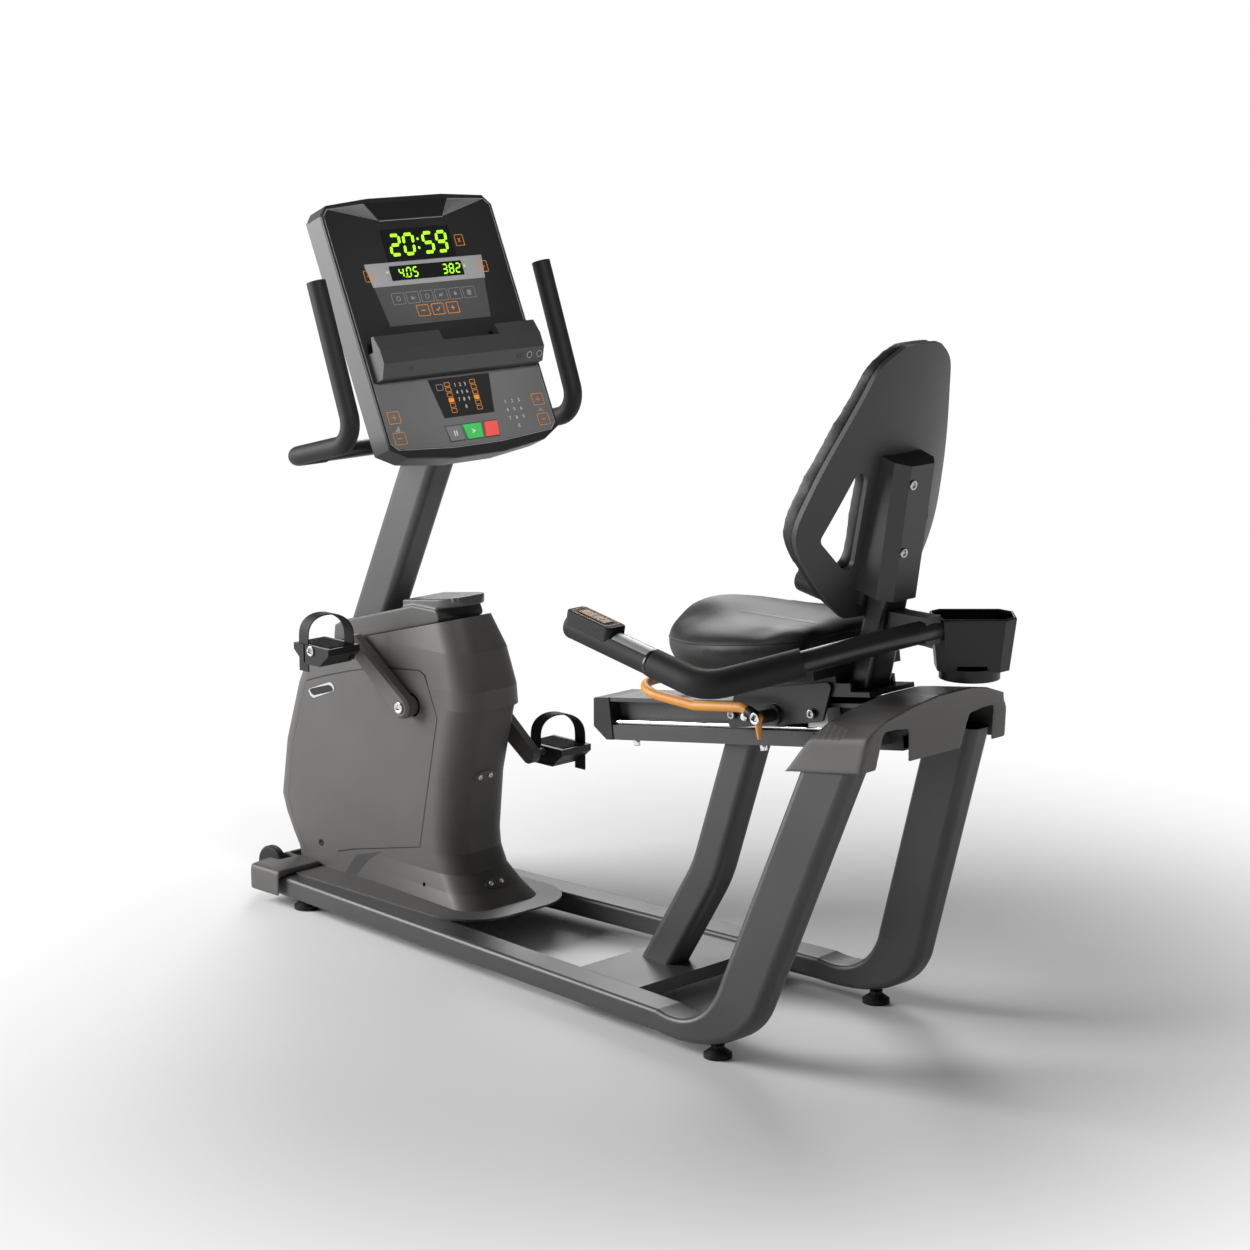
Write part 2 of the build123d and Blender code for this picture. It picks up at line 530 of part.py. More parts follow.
def build_console():
    length = 900.0
    mast = extrude(MAST * Pos(0, 0, -190) * RectangleRounded(MAST_W, MAST_D, 14), amount=length)
    mast -= extrude(MAST * Pos(0, 0, -190) * RectangleRounded(MAST_W - 2 * WALL, MAST_D - 2 * WALL, 11),
                    amount=length)
    mast -= CONSOLE * block(-300, 300, -600, 600, CON_BACK, 600)
    NODES["mast"] = mast

    def outline(less, z):
        half = CON_HALF - less
        points = [(-half + 17, 255 - less), (-90, 263 - less), (90, 263 - less), (half - 17, 255 - less),
                  (half, 236 - less), (half, -205 + less), (half - 40, -225 + less), (60, -237 + less),
                  (-60, -237 + less), (-half + 40, -225 + less), (-half, -205 + less), (-half, 236 - less)]
        return make_face(Polyline(*[(x, y, z) for x, y in points], close=True))

    front = -FACE_T
    deep = front - CON_BACK
    housing = extrude(outline(0, CON_BACK + 16), amount=deep - 16, dir=(0, 0, 1))
    housing += loft([outline(14, CON_BACK), outline(0, CON_BACK + 16)])
    housing = fillet(housing.edges().filter_by(Axis.Z).sort_by(Axis.Y)[-4:], 10)
    housing -= extrude(outline(14 + WALL, CON_BACK + WALL), amount=deep, dir=(0, 0, 1))
    NODES["console_housing"] = CONSOLE * housing

    face = extrude(outline(0.5, front), amount=FACE_T, dir=(0, 0, 1))
    for name, points in KEYS.items():
        lip = make_face(Polyline(*points, close=True))
        hole = extrude(offset(lip, amount=GAP), amount=FACE_T)
        recess = extrude(offset(lip, amount=1.5 + GAP), amount=2)
        face -= Pos(0, 0, front) * hole
        face -= Pos(0, 0, front) * recess
        cap = Pos(0, 0, front + 0.5) * extrude(lip, amount=FACE_T + 1.3)
        cap += Pos(0, 0, front + 0.5) * extrude(offset(lip, amount=1.5), amount=1.5)
        NODES[name] = CONSOLE * cap
    NODES["console_face"] = CONSOLE * face

    board = block(-150, 150, -196, -100, front - 6, front - 2 - KEY_TRAVEL + 1)
    board += block(-150, 150, 20, 205, front - 6, front - 2 - KEY_TRAVEL + 1)
    posts = [(-140, -112), (140, -112), (-140, 30), (140, 30), (-140, 195), (140, 195)]
    for u, v in posts:
        board += upright(u, v, 5, front - 4, front)
    NODES["display_board"] = CONSOLE * board

    shelf_half = 196.0
    lip = [(0, -82), (22, -82), (38, -58), (38, -32), (30, -4), (24, -4), (18, -30), (0, -30)]
    wire = Polyline(*[(-shelf_half, v, w) for w, v in lip], close=True)
    shelf = extrude(make_face(wire), amount=2 * shelf_half, dir=(1, 0, 0))
    shelf -= block(-40, 97, -25, 10, 20, 60)
    NODES["device_shelf"] = CONSOLE * shelf

    far_low = (-HANDLE_LOW[0], HANDLE_LOW[1], HANDLE_LOW[2])
    far_back = (-HANDLE_BACK[0], HANDLE_BACK[1], HANDLE_BACK[2])
    far_top = (-HANDLE_TOP[0], HANDLE_TOP[1], HANDLE_TOP[2])
    path = FilletPolyline(HANDLE_TOP, HANDLE_LOW, HANDLE_BACK, far_back, far_low, far_top, radius=45)
    hang_v, hang_n = HANDLE_BACK[1:]
    hanger = CONSOLE * block(-24, 24, hang_v - 14, hang_v + 14, hang_n, hang_n + 90)
    hanger -= extrude(MAST * Pos(0, 0, -190) * RectangleRounded(MAST_W, MAST_D, 14), amount=length)
    hanger = hanger.solids().sort_by(Axis.X)[0]
    bar = CONSOLE * sweep_round(path, HANDLE_R)
    bar -= CONSOLE * sweep_round(path, HANDLE_R - WALL)
    NODES["console_handle"] = bar + (hanger - CONSOLE * sweep_round(path, HANDLE_R - WALL))
    grip_end = (HANDLE_BACK[0] + 84, HANDLE_BACK[1], HANDLE_BACK[2])
    grip_path = FilletPolyline(HANDLE_TOP, HANDLE_LOW, HANDLE_BACK, grip_end, radius=45)
    grip = pipe(grip_path, HANDLE_R + GRIP_T, GRIP_T)
    along = Vector(*HANDLE_TOP) - Vector(*HANDLE_LOW)
    grip += Plane(origin=HANDLE_TOP, z_dir=along) * Cylinder(
        HANDLE_R + GRIP_T, 5, align=(Align.CENTER, Align.CENTER, Align.MIN))
    NODES["console_grips"] = both(CONSOLE * grip)


def build_seat_rail():
    web_in = SR_WEB - 4
    rail = block(SR_A0, SR_A1, -SR_HALF, SR_HALF, 0, SR_BOX)
    rail += block(SR_A0, SR_A1, -SR_WEB, SR_WEB, SR_BOX, SR_TOP)
    rail += block(SR_A0, SR_A1, -SR_HALF, SR_HALF, SR_TOP - SR_PLATE, SR_TOP)
    rail -= block(SR_A0, SR_A1, -SR_HALF + WALL, SR_HALF - WALL, WALL, SR_BOX - WALL)
    rail -= block(SR_A0, SR_A1, -web_in, web_in, WALL, SR_TOP - SR_PLATE)
    rest = HOOD_TOP_FRONT[0] + 5
    rail += block(rest, rest + 24, -30, 30, SR_TOP, HOOD_TOP_FRONT[1] - WALL)
    bar_x0 = LEG_TOP[0] - 55
    bar_x1 = LEG_TOP[0] + 13
    bar = block(bar_x0, bar_x1, -158, 158, LEG_TOP[2], LEG_TOP[2] + 24)
    bar -= block(bar_x0 + WALL, bar_x1 - WALL, -158, 158, LEG_TOP[2] + WALL, LEG_TOP[2] + 24 - WALL)
    bar -= block(bar_x0 - 4, bar_x1 + 8, -SR_HALF + 1, SR_HALF - 1, 0, 1000)
    NODES["seat_rail"] = (SEAT * rail) + bar

    c, s = cos(radians(SEAT_TILT)), sin(radians(SEAT_TILT))
    foot_x = SEAT_AT[0] + SR_A0 * c
    foot_z = SEAT_AT[2] + SR_A0 * s
    head_x = foot_x - SR_TOP * s
    head_z = foot_z + SR_TOP * c
    nose = 32.0
    cap = prism([(nose, head_z - (head_x - nose) * s / c), (nose, 462), (64, SEAT_AT[2] - 0.6),
                 (foot_x, foot_z), (head_x, head_z)], -SR_HALF - 2, SR_HALF + 2)
    cap = fillet(cap.edges().filter_by(Axis.Y).sort_by(Axis.X)[:2], 5)
    rod_start = (SR_A0 - 4, -ROD_Y, SR_BOX + ROD_R - 0.5)
    rod = Plane(origin=rod_start, x_dir=(0, 1, 0), z_dir=(1, 0, 0)) * Cylinder(
        ROD_R, SR_A1 - 60 - SR_A0 + 4, align=(Align.CENTER, Align.CENTER, Align.MIN))
    rod -= block(0, SR_A1, -80, 0, 0, SR_BOX)
    rods = both(SEAT * rod)
    NODES["guide_rods"] = rods
    NODES["rail_end_cap"] = cap - rods

    side = [HOOD_FRONT, HOOD_TOP_FRONT] + HOOD_REAR
    half = HOOD_HALF
    around = [(y, h) for y, h in half] + [(-y, h) for y, h in reversed(half)]
    ahead = HOOD_FRONT[0] - 41.5
    reach = HOOD_REAR[0][0] + 34 - ahead
    wire = Polyline(*[(ahead, y, h) for y, h in around], close=True)
    hood = prism(side, -250, 250) & extrude(make_face(wire), amount=reach, dir=(1, 0, 0))
    drop = HOOD_TOP_FRONT[1] - WALL
    inner_side = [(HOOD_FRONT[0] - 80, -40), (HOOD_TOP_FRONT[0] - 80, drop), (HOOD_REAR[0][0] - 6.5, drop),
                  (HOOD_REAR[1][0] - 3.6, HOOD_REAR[1][1] - 1), (HOOD_REAR[2][0] - 3.4, HOOD_REAR[2][1]),
                  (HOOD_REAR[2][0] - 8, -40)]
    inner_half = [(y - WALL * 0.35 if h > 60 else y - WALL, h - WALL if h > 60 else h) for y, h in half]
    inner_half.append((half[-1][0] - WALL + 2.7, half[-1][1] - 25))
    inside = [(y, h) for y, h in inner_half] + [(-y, h) for y, h in reversed(inner_half)]
    wire = Polyline(*[(ahead - 100, y, h) for y, h in inside], close=True)
    hood -= prism(inner_side, -250, 250) & extrude(make_face(wire), amount=reach + 200, dir=(1, 0, 0))
    notch_a = HOOD_REAR[2][0] - 18
    for sign in (1, -1):
        notch = Polyline((notch_a, sign * 62, -40), (notch_a, sign * 78, 42), (notch_a, sign * 136, 46),
                         (notch_a, sign * 146, -40), close=True)
        hood -= extrude(make_face(notch), amount=60, dir=(1, 0, 0))
    NODES["rear_cover"] = SEAT * hood


def build_carriage():
    c, s = cos(radians(SEAT_TILT)), sin(radians(SEAT_TILT))
    cheek = prism([(369, 518), (582, 565), (603, 635), (387, 587)], -CAR_OUT, -CAR_IN)
    cheek = fillet(cheek.edges().filter_by(Axis.Y), 8)
    boss = across(LEVER_AT[0], LEVER_AT[1], 18, -CAR_OUT - 6, -CAR_OUT)
    cheek += boss
    for x, z in ((384, 545), (562, 576)):
        cheek += across(x, z, 8, -CAR_OUT - 4, -CAR_OUT)
    cheek -= across(LEVER_AT[0], LEVER_AT[1], LEVER_R + RUN, -100, 0)
    bridge = block(BRIDGE_A0, BRIDGE_A1, -CAR_IN, CAR_IN, BRIDGE_Z, BRIDGE_Z + BRIDGE_T)
    for y in (-CAR_IN, CAR_IN - 6):
        bridge += block(BRIDGE_A0, BRIDGE_A1 - 40, y, y + 6, BRIDGE_Z + BRIDGE_T, RIB_TOP)
    pin_a = 380.0
    bridge -= upright(pin_a, 0, 5 + RUN, 0, 200)
    NODES["seat_carriage"] = both(cheek) + SEAT * bridge

    glides = None
    for a in (350, 490):
        glide = block(a, a + 44, -CAR_IN, -24, SR_BOX + 2 * ROD_R, SR_TOP - SR_PLATE - GAP)
        glides = glide if glides is None else glides + glide
    NODES["glide_blocks"] = both(SEAT * glides)

    pin = upright(pin_a, 0, 15, SR_TOP + GAP, SR_TOP + GAP + 4) + upright(pin_a, 0, 5, SR_TOP + GAP, 101)
    NODES["lock_pin"] = SEAT * pin

    px, pz = LEVER_AT
    y = LEVER_HALF
    path = FilletPolyline((px, -y, pz), (440, -y, 572), (330, -y, 557), (250, -y, 560), (173, -y, 567),
                          (173, y, 567), (250, y, 560), (330, y, 557), (440, y, 572), (px, y, pz),
                          radius=[24, 24, 60, 70, 70, 60, 24, 24])
    lever = sweep_round(path, LEVER_R)
    lever += both(Pos(px, -y, pz) * Sphere(LEVER_R))
    lever += both(across(px, pz, LEVER_R, -y, -CAR_IN - 1))
    tail = Plane(origin=(px, -y, pz), z_dir=(3, 0, -32)) * Cone(
        LEVER_R - 0.5, 3, 36, align=(Align.CENTER, Align.CENTER, Align.MIN))
    NODES["release_lever"] = lever + both(tail)


def build_seat():
    def half_section(a, half, low, edge, high):
        curve = Spline((a, 0, high), (a, -0.55 * half, high - 0.4 * (high - edge)),
                       (a, -0.93 * half, edge + 3), (a, -half, edge - 16), (a, -0.9 * half, low + 8),
                       (a, -0.78 * half, low), tangents=[(0, -1, 0), (0, 1, 0)])
        return make_face([curve.edge(), Line((a, -0.78 * half, low), (a, 0, low)),
                          Line((a, 0, low), (a, 0, high))])

    half = loft([half_section(*row) for row in CUSHION])
    cushion = both(half)
    cushion -= block(100, 700, -300, 300, 0, PAN_TOP)
    NODES["seat_cushion"] = SEAT * cushion

    points = [(240, 66), (270, 96), (345, 126), (430, 138), (510, 124), (560, 108)]
    rim = points + [(a, -y) for a, y in reversed(points)]
    pan = plate(rim, RIB_TOP + 12, PAN_TOP)
    inner = [(a + (5 if a < 300 else -3 if a > 540 else 0), y - 4) for a, y in points]
    pan -= plate(inner + [(a, -y) for a, y in reversed(inner)], RIB_TOP + 16, PAN_TOP)
    foot = block(BRIDGE_A0, 560, -CAR_IN, CAR_IN, RIB_TOP, RIB_TOP + 14)
    foot -= block(BRIDGE_A0 + 5, 555, -CAR_IN + 6, CAR_IN - 6, RIB_TOP, RIB_TOP + 10)
    NODES["seat_pan"] = SEAT * (pan + foot)

    tip = (BAR_TIP[0], -BAR_Y, BAR_TIP[1])
    elbow = (BAR_ELBOW[0], -BAR_Y, BAR_ELBOW[1])
    apex = (BAR_APEX[0], 0, BAR_APEX[1])
    elbow_far = (BAR_ELBOW[0], BAR_Y, BAR_ELBOW[1])
    tip_far = (BAR_TIP[0], BAR_Y, BAR_TIP[1])
    whole = FilletPolyline(tip, elbow, apex, elbow_far, tip_far, radius=BAR_BEND)
    bar = pipe(whole, BAR_R, WALL)
    NODES["seat_handlebar"] = bar

    line = Vector(*elbow) - Vector(*tip)
    along = line.normalized()
    band = Vector(*tip) + along * 194
    grip_frame = Plane(origin=Vector(*tip) - along * 6, x_dir=(0, 1, 0), z_dir=along)
    front = extrude(grip_frame * Circle(GRIP_R), amount=200)
    front = fillet(front.edges().sort_by(Axis.X)[0], 8)
    inward = (Vector(*apex) - Vector(*elbow)).normalized()
    stop = Vector(*elbow) + inward * 160
    bend = FilletPolyline(band, elbow, stop, radius=BAR_BEND)
    grip = front + sweep_round(bend, SLEEVE_R)
    pod_frame = Plane(origin=Vector(*tip) - along * 2, x_dir=along, z_dir=along.cross(Vector(0, 1, 0)))
    pod = block(0, 104, -22, 22, 6, 31)
    pod = fillet(pod.edges().filter_by(Axis.Z), 10)
    pod = fillet(pod.edges().group_by(Axis.Z)[-1], 3)
    cavity = block(16, 84, -13, 13, 24, 28.5)
    slot = block(18, 82, -11, 11, 28.5, 40)
    grip += pod_frame * pod
    grip -= sweep_round(whole, BAR_R)
    grip -= pod_frame * (cavity + slot)
    pair("seat_grip", grip)
    key = block(16 + GAP, 84 - GAP, -13 + GAP, 13 - GAP, 26.5, 28.5)
    key += block(18 + GAP, 82 - GAP, -11 + GAP, 11 - GAP, 28.5, 32)
    pair("thumb_key", pod_frame * key)

    post = block(-BPOST_HALF, BPOST_HALF, -160, 96, MOUNT_N - BPOST_D, MOUNT_N)
    post = fillet(post.edges().filter_by(Axis.Y), 8)
    post -= block(-BPOST_HALF + 4, BPOST_HALF - 4, -160, 92, MOUNT_N - BPOST_D + 4, MOUNT_N - 4)
    post = BACK * post
    post -= SEAT * block(0, 800, -100, 100, -100, BRIDGE_Z + BRIDGE_T)
    saddle = block(655, 762, -18, 18, 712, 758)
    saddle -= BACK * block(-60, 60, -300, 300, MOUNT_N - BPOST_D + 2, 200)
    post += saddle
    post -= sweep_round(whole, BAR_R)
    NODES["back_post"] = post

    far = (Vector(*elbow_far) - Vector(*apex)).normalized()
    spot = Vector(*apex) + far * 72
    reach = spot + Vector(24, 32, 0)
    cup = upright(CUP[0], CUP[1], CUP_R, CUP_Z0, CUP_Z1 + 4)
    skew = Plane(origin=(CUP[0], CUP[1], CUP_Z1), x_dir=(0.7071, 0.7071, 0), z_dir=(0, 0, 1))
    base = [(0.86 * x, 0.86 * y) for x, y in CUP_RIM]
    deep = CUP_Z2 - CUP_Z1

    def cup_box(less, low):
        rim = [(x - less if x > 0 else x + less, y - less if y > 0 else y + less) for x, y in CUP_RIM]
        foot = [(x - less if x > 0 else x + less, y - less if y > 0 else y + less) for x, y in base]
        lower = make_face(Polyline(*[(x, y, low) for x, y in foot], close=True))
        upper = make_face(Polyline(*[(x, y, deep + (5 if less else 0)) for x, y in rim], close=True))
        return loft([lower, upper], ruled=True)

    cup += skew * cup_box(0, 0)
    cup -= upright(CUP[0], CUP[1], CUP_R - WALL, CUP_Z0 + WALL, CUP_Z1 + 10)
    cup -= skew * cup_box(3.5, 4)
    clamp = Plane(origin=spot, z_dir=far) * Cylinder(BAR_R + 7, 36)
    hug = clamp + Plane(origin=(spot + reach) * 0.5, x_dir=far, z_dir=(0, 0, 1)) * Box(34, 40, 30)
    hug -= upright(CUP[0], CUP[1], CUP_R - 1, CUP_Z0, 900)
    hug -= block(640, 765, -20, 20, 700, 770)
    hug -= skew * plate(base, -100, 200)
    cup += hug
    cup -= sweep_round(whole, BAR_R)
    NODES["cup_holder"] = cup


def build_back():
    right = [(x, v) for x, v in BACK_HALF if x > 0]
    curve = Spline(*[(x, v) for x, v in right], (0, BACK_HALF[-1][1]), tangents=[(1, 0.55), (-1, 0)])
    low = right[0]
    half = make_face([curve.edge(), Line((0, BACK_HALF[-1][1]), (0, low[1])), Line((0, low[1]), low)])
    full = half + mirror(half, about=Plane.YZ)
    solid = Pos(0, 0, -120) * extrude(full, amount=300)
    hole = make_face(Polyline(*BACK_HOLE, close=True))
    hole = fillet(hole.vertices(), 14)
    solid -= Pos(0, 0, -200) * extrude(hole + mirror(hole, about=Plane.YZ), amount=500)
    axis = Plane(origin=(0, -100, BACK_R), x_dir=(1, 0, 0), z_dir=(0, 1, 0))

    def drum(radius):
        return axis * Cylinder(radius, 800, align=(Align.CENTER, Align.CENTER, Align.MIN))

    pad_back = BACK_R + PAD_T
    shell_back = pad_back + SHELL_T
    inside = block(-300, 300, -100, 700, -200, BACK_R * 0.6)
    pad = (solid & (drum(pad_back) - drum(BACK_R))) & inside
    shell = (solid & (drum(shell_back) - drum(pad_back))) & inside
    mount = block(-36, 36, 40, 262, MOUNT_N, -PAD_T - 3)
    shell += mount
    NODES["back_pad"] = BACK * pad
    NODES["back_shell"] = BACK * shell

    profile = [(66, -99), (292, -81), (296, -30), (66, -30)]
    wire = Polyline(*[(-48, v, n) for v, n in profile], close=True)
    cover = extrude(make_face(wire), amount=96, dir=(1, 0, 0))
    rear = cover.faces().sort_by(Axis.Z)[0]
    uprights = [e for e in rear.edges() if abs(abs(e.center().X) - 48) < 0.1]
    cover = chamfer(uprights, 20)
    inner = [(50, -97), (289, -78), (289, 0), (50, 0)]
    wire = Polyline(*[(-44, v, n) for v, n in inner], close=True)
    core = extrude(make_face(wire), amount=88, dir=(1, 0, 0))
    rear = core.faces().sort_by(Axis.Z)[0]
    uprights = [e for e in rear.edges() if abs(abs(e.center().X) - 44) < 0.1]
    core = chamfer(uprights, 17)
    cover -= core
    cover -= drum(shell_back)
    for v in (148, 261):
        cover -= Plane(origin=(20, v, -40), z_dir=(0, 0, -1)) * Cylinder(4, 100)
    NODES["bracket_cover"] = BACK * cover


build_floor()
build_shroud()
build_drive()
build_console()
build_seat_rail()
build_carriage()
build_seat()
build_back()

for name, shape in NODES.items():
    export_step(shape, "parts/" + name + ".step")
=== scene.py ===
# %% [markdown]
# This lesson dresses a recumbent exercise bike. The solids of the frame, the drive and the seat
# come ready made and keep their place. Blender adds what solids alone cannot show: upholstery,
# the printed console, bolts, grip pads and a believable finish on every surface.

# %% Load the frame
from math import cos, pi, radians, sin
import bpy
from mathutils import Matrix, Vector


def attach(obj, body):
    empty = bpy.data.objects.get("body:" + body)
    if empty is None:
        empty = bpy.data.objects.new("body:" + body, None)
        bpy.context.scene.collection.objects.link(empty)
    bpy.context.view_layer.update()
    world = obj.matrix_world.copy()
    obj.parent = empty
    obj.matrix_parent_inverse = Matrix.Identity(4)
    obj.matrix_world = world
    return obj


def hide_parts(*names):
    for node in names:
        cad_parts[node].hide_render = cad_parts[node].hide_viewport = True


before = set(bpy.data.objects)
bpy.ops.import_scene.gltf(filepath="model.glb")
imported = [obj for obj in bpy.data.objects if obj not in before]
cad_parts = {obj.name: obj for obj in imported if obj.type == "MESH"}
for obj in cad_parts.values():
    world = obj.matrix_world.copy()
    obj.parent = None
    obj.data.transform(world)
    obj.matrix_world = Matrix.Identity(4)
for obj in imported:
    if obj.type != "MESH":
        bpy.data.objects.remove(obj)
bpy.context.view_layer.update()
scene = bpy.context.scene
scene.view_settings.view_transform = "Standard"


def rest():
    """Back to object mode with nothing selected, so the next operator touches only its own piece."""
    if bpy.context.object and bpy.context.object.mode != "OBJECT":
        bpy.ops.object.mode_set(mode="OBJECT")
    bpy.ops.object.select_all(action="DESELECT")


rest()

# %% [markdown]
# The camera stands behind the rider's left shoulder, a little above the seat, with a long lens.
# Its place was solved from the pedals, the rails and the seat grips, which are pairs that mirror
# each other, so the bike falls on the same spot of a square picture. The focal length came out in
# pixels, and the sensor's width turns it into millimetres.

# %% Camera
picture_px = 1250
focal_px = 3205
sensor_mm = 36
look_down = radians(11.79)
rest()
bpy.ops.object.camera_add(location=(3.9621, -3.8980, 1.7922), rotation=(pi / 2 - look_down, 0, pi / 4))
camera = bpy.context.object
camera.name = "studio_camera"
camera.data.sensor_width = sensor_mm
camera.data.lens = focal_px / picture_px * sensor_mm
scene.camera = camera
print("lens", round(camera.data.lens, 1))

# %% [markdown]
# A pale sweep of floor carries the soft shadow. Near the bike it is a plain matt white that takes
# shade; further off it fades into even white, as a lit studio floor does. The fade follows the
# distance from the bike's middle, so no edge of the floor shows.

# %% Floor
shaded_reach = 0.75
white_reach = 1.9
rest()
bpy.ops.mesh.primitive_circle_add(vertices=96, radius=160, fill_type="NGON", location=(0, 0, -0.0005))
floor = bpy.context.object
floor.name = "studio_floor"
white = bpy.data.materials.new("studio_white")
white.use_nodes = True
tree = white.node_tree
matt = tree.nodes["Principled BSDF"]
matt.inputs["Base Color"].default_value = (0.9, 0.9, 0.9, 1)
matt.inputs["Roughness"].default_value = 0.75
matt.inputs["Specular IOR Level"].default_value = 0.1
glow = tree.nodes.new("ShaderNodeEmission")
glow.inputs["Color"].default_value = (1, 1, 1, 1)
glow.inputs["Strength"].default_value = 1.0
place = tree.nodes.new("ShaderNodeTexCoord")
reach = tree.nodes.new("ShaderNodeVectorMath")
reach.operation = "LENGTH"
fade = tree.nodes.new("ShaderNodeMapRange")
fade.interpolation_type = "SMOOTHSTEP"
fade.inputs["From Min"].default_value = shaded_reach
fade.inputs["From Max"].default_value = white_reach
blend = tree.nodes.new("ShaderNodeMixShader")
tree.links.new(place.outputs["Object"], reach.inputs[0])
tree.links.new(reach.outputs["Value"], fade.inputs["Value"])
tree.links.new(fade.outputs["Result"], blend.inputs["Fac"])
tree.links.new(matt.outputs["BSDF"], blend.inputs[1])
tree.links.new(glow.outputs["Emission"], blend.inputs[2])
tree.links.new(blend.outputs["Shader"], tree.nodes["Material Output"].inputs["Surface"])
floor.data.materials.append(white)
print("floor fades from", shaded_reach, "to", white_reach)

# %% [markdown]
# The room looks white to the camera but gives little light of its own, so that the lamps model the
# dark plastic. A light path node tells the two apart: rays from the camera and rays through clear
# parts see white, and all others see the dim room.

# %% Room
room_light = 0.09
room = bpy.data.worlds.new("studio_room")
scene.world = room
room.use_nodes = True
tree = room.node_tree
dim = tree.nodes["Background"]
dim.inputs["Color"].default_value = (1, 1, 1, 1)
dim.inputs["Strength"].default_value = room_light
seen = tree.nodes.new("ShaderNodeBackground")
seen.inputs["Color"].default_value = (1, 1, 1, 1)
seen.inputs["Strength"].default_value = 1.0
path = tree.nodes.new("ShaderNodeLightPath")
either = tree.nodes.new("ShaderNodeMath")
either.operation = "MAXIMUM"
mix = tree.nodes.new("ShaderNodeMixShader")
tree.links.new(path.outputs["Is Camera Ray"], either.inputs[0])
tree.links.new(path.outputs["Is Transmission Ray"], either.inputs[1])
tree.links.new(either.outputs["Value"], mix.inputs["Fac"])
tree.links.new(dim.outputs["Background"], mix.inputs[1])
tree.links.new(seen.outputs["Background"], mix.inputs[2])
tree.links.new(mix.outputs["Shader"], tree.nodes["World Output"].inputs["Surface"])
print("room light", room_light)

# %% [markdown]
# Four soft boxes light the bike. The large key box stands low at the front left and rakes along the
# casing. A weaker one high on the far side lifts the upper edges, a card beside it gives the seat
# its sheen, and a small narrow box behind the rider brightens the console. Square area lamps are
# used because their broad reflections draw long soft highlights on rounded plastic.


# %% Lamps
def lamp(name, spot, aim, size, power, spread=180):
    """A square soft box at spot that faces aim; spread narrows its beam, in degrees."""
    rest()
    bpy.ops.object.light_add(type="AREA", location=spot)
    box = bpy.context.object
    box.name = name
    box.data.size = size
    box.data.energy = power
    box.data.spread = radians(spread)
    box.rotation_euler = (Vector(aim) - Vector(spot)).to_track_quat("-Z", "Y").to_euler()


lamp("key_box", (-3.2, -2.6, 1.9), (-0.4, 0, 0.6), size=2.4, power=250)
lamp("back_box", (-2.4, 2.4, 3.8), (0.2, 0, 0.5), size=2.0, power=36)
lamp("seat_card", (-3.2, 3.0, 2.4), (0.4, 0, 0.7), size=1.6, power=50)
lamp("console_box", (1.5, -0.7, 2.4), (-0.42, 0, 1.1), size=0.6, power=1.3, spread=26)

# %% [markdown]
# Most of this bike is moulded plastic, powder-coated steel and rubber. They differ in how fine
# their grain is and how wide their highlight spreads. One recipe makes them all: a base colour
# that drifts a little over the surface, a fine bump, and a roughness that is not quite even.

# %% Recipe for a finish
drift_scale = 7.0
drift_detail = 5.0
rough_play = 0.06
grain_depth = 0.0006


def finish(name, colour, rough, grain=0.15, size=900.0, metal=0.0, drift=0.08, cells=False, shine=0.5):
    """A procedural finish: drifting colour, uneven roughness and a fine grain."""
    made = bpy.data.materials.new(name)
    made.use_nodes = True
    nodes, links = made.node_tree.nodes, made.node_tree.links
    shader = nodes["Principled BSDF"]
    shader.inputs["Metallic"].default_value = metal
    shader.inputs["Specular IOR Level"].default_value = shine
    where = nodes.new("ShaderNodeTexCoord")
    cloud = nodes.new("ShaderNodeTexNoise")
    cloud.inputs["Scale"].default_value = drift_scale
    cloud.inputs["Detail"].default_value = drift_detail
    links.new(where.outputs["Object"], cloud.inputs["Vector"])
    tint = nodes.new("ShaderNodeValToRGB")
    tint.color_ramp.elements[0].position = 0.3
    tint.color_ramp.elements[1].position = 0.7
    tint.color_ramp.elements[0].color = [c * (1 - drift) for c in colour] + [1]
    tint.color_ramp.elements[1].color = [min(1, c * (1 + drift)) for c in colour] + [1]
    links.new(cloud.outputs["Fac"], tint.inputs["Fac"])
    links.new(tint.outputs["Color"], shader.inputs["Base Color"])
    spread = nodes.new("ShaderNodeMapRange")
    spread.inputs["To Min"].default_value = max(0.04, rough - rough_play)
    spread.inputs["To Max"].default_value = min(1.0, rough + rough_play)
    links.new(cloud.outputs["Fac"], spread.inputs["Value"])
    links.new(spread.outputs["Result"], shader.inputs["Roughness"])
    if grain:
        fine = nodes.new("ShaderNodeTexVoronoi" if cells else "ShaderNodeTexNoise")
        fine.inputs["Scale"].default_value = size
        links.new(where.outputs["Object"], fine.inputs["Vector"])
        bump = nodes.new("ShaderNodeBump")
        bump.inputs["Strength"].default_value = grain
        bump.inputs["Distance"].default_value = grain_depth
        links.new(fine.outputs["Distance" if cells else "Fac"], bump.inputs["Height"])
        links.new(bump.outputs["Normal"], shader.inputs["Normal"])
    return made


def glowing(name, colour, strength):
    """A lit display segment."""
    made = finish(name, colour, 0.4, grain=0, drift=0.02)
    shader = made.node_tree.nodes["Principled BSDF"]
    shader.inputs["Emission Color"].default_value = list(colour) + [1]
    shader.inputs["Emission Strength"].default_value = strength
    return made


# %% [markdown]
# The frame is painted dark grey, the casing is a warmer and lighter grey, and what the rider
# touches is black. Small accents carry the colour: the orange lever and keys, and the green and
# red keys. Each number after the colour is the roughness, so a higher one gives a duller surface.

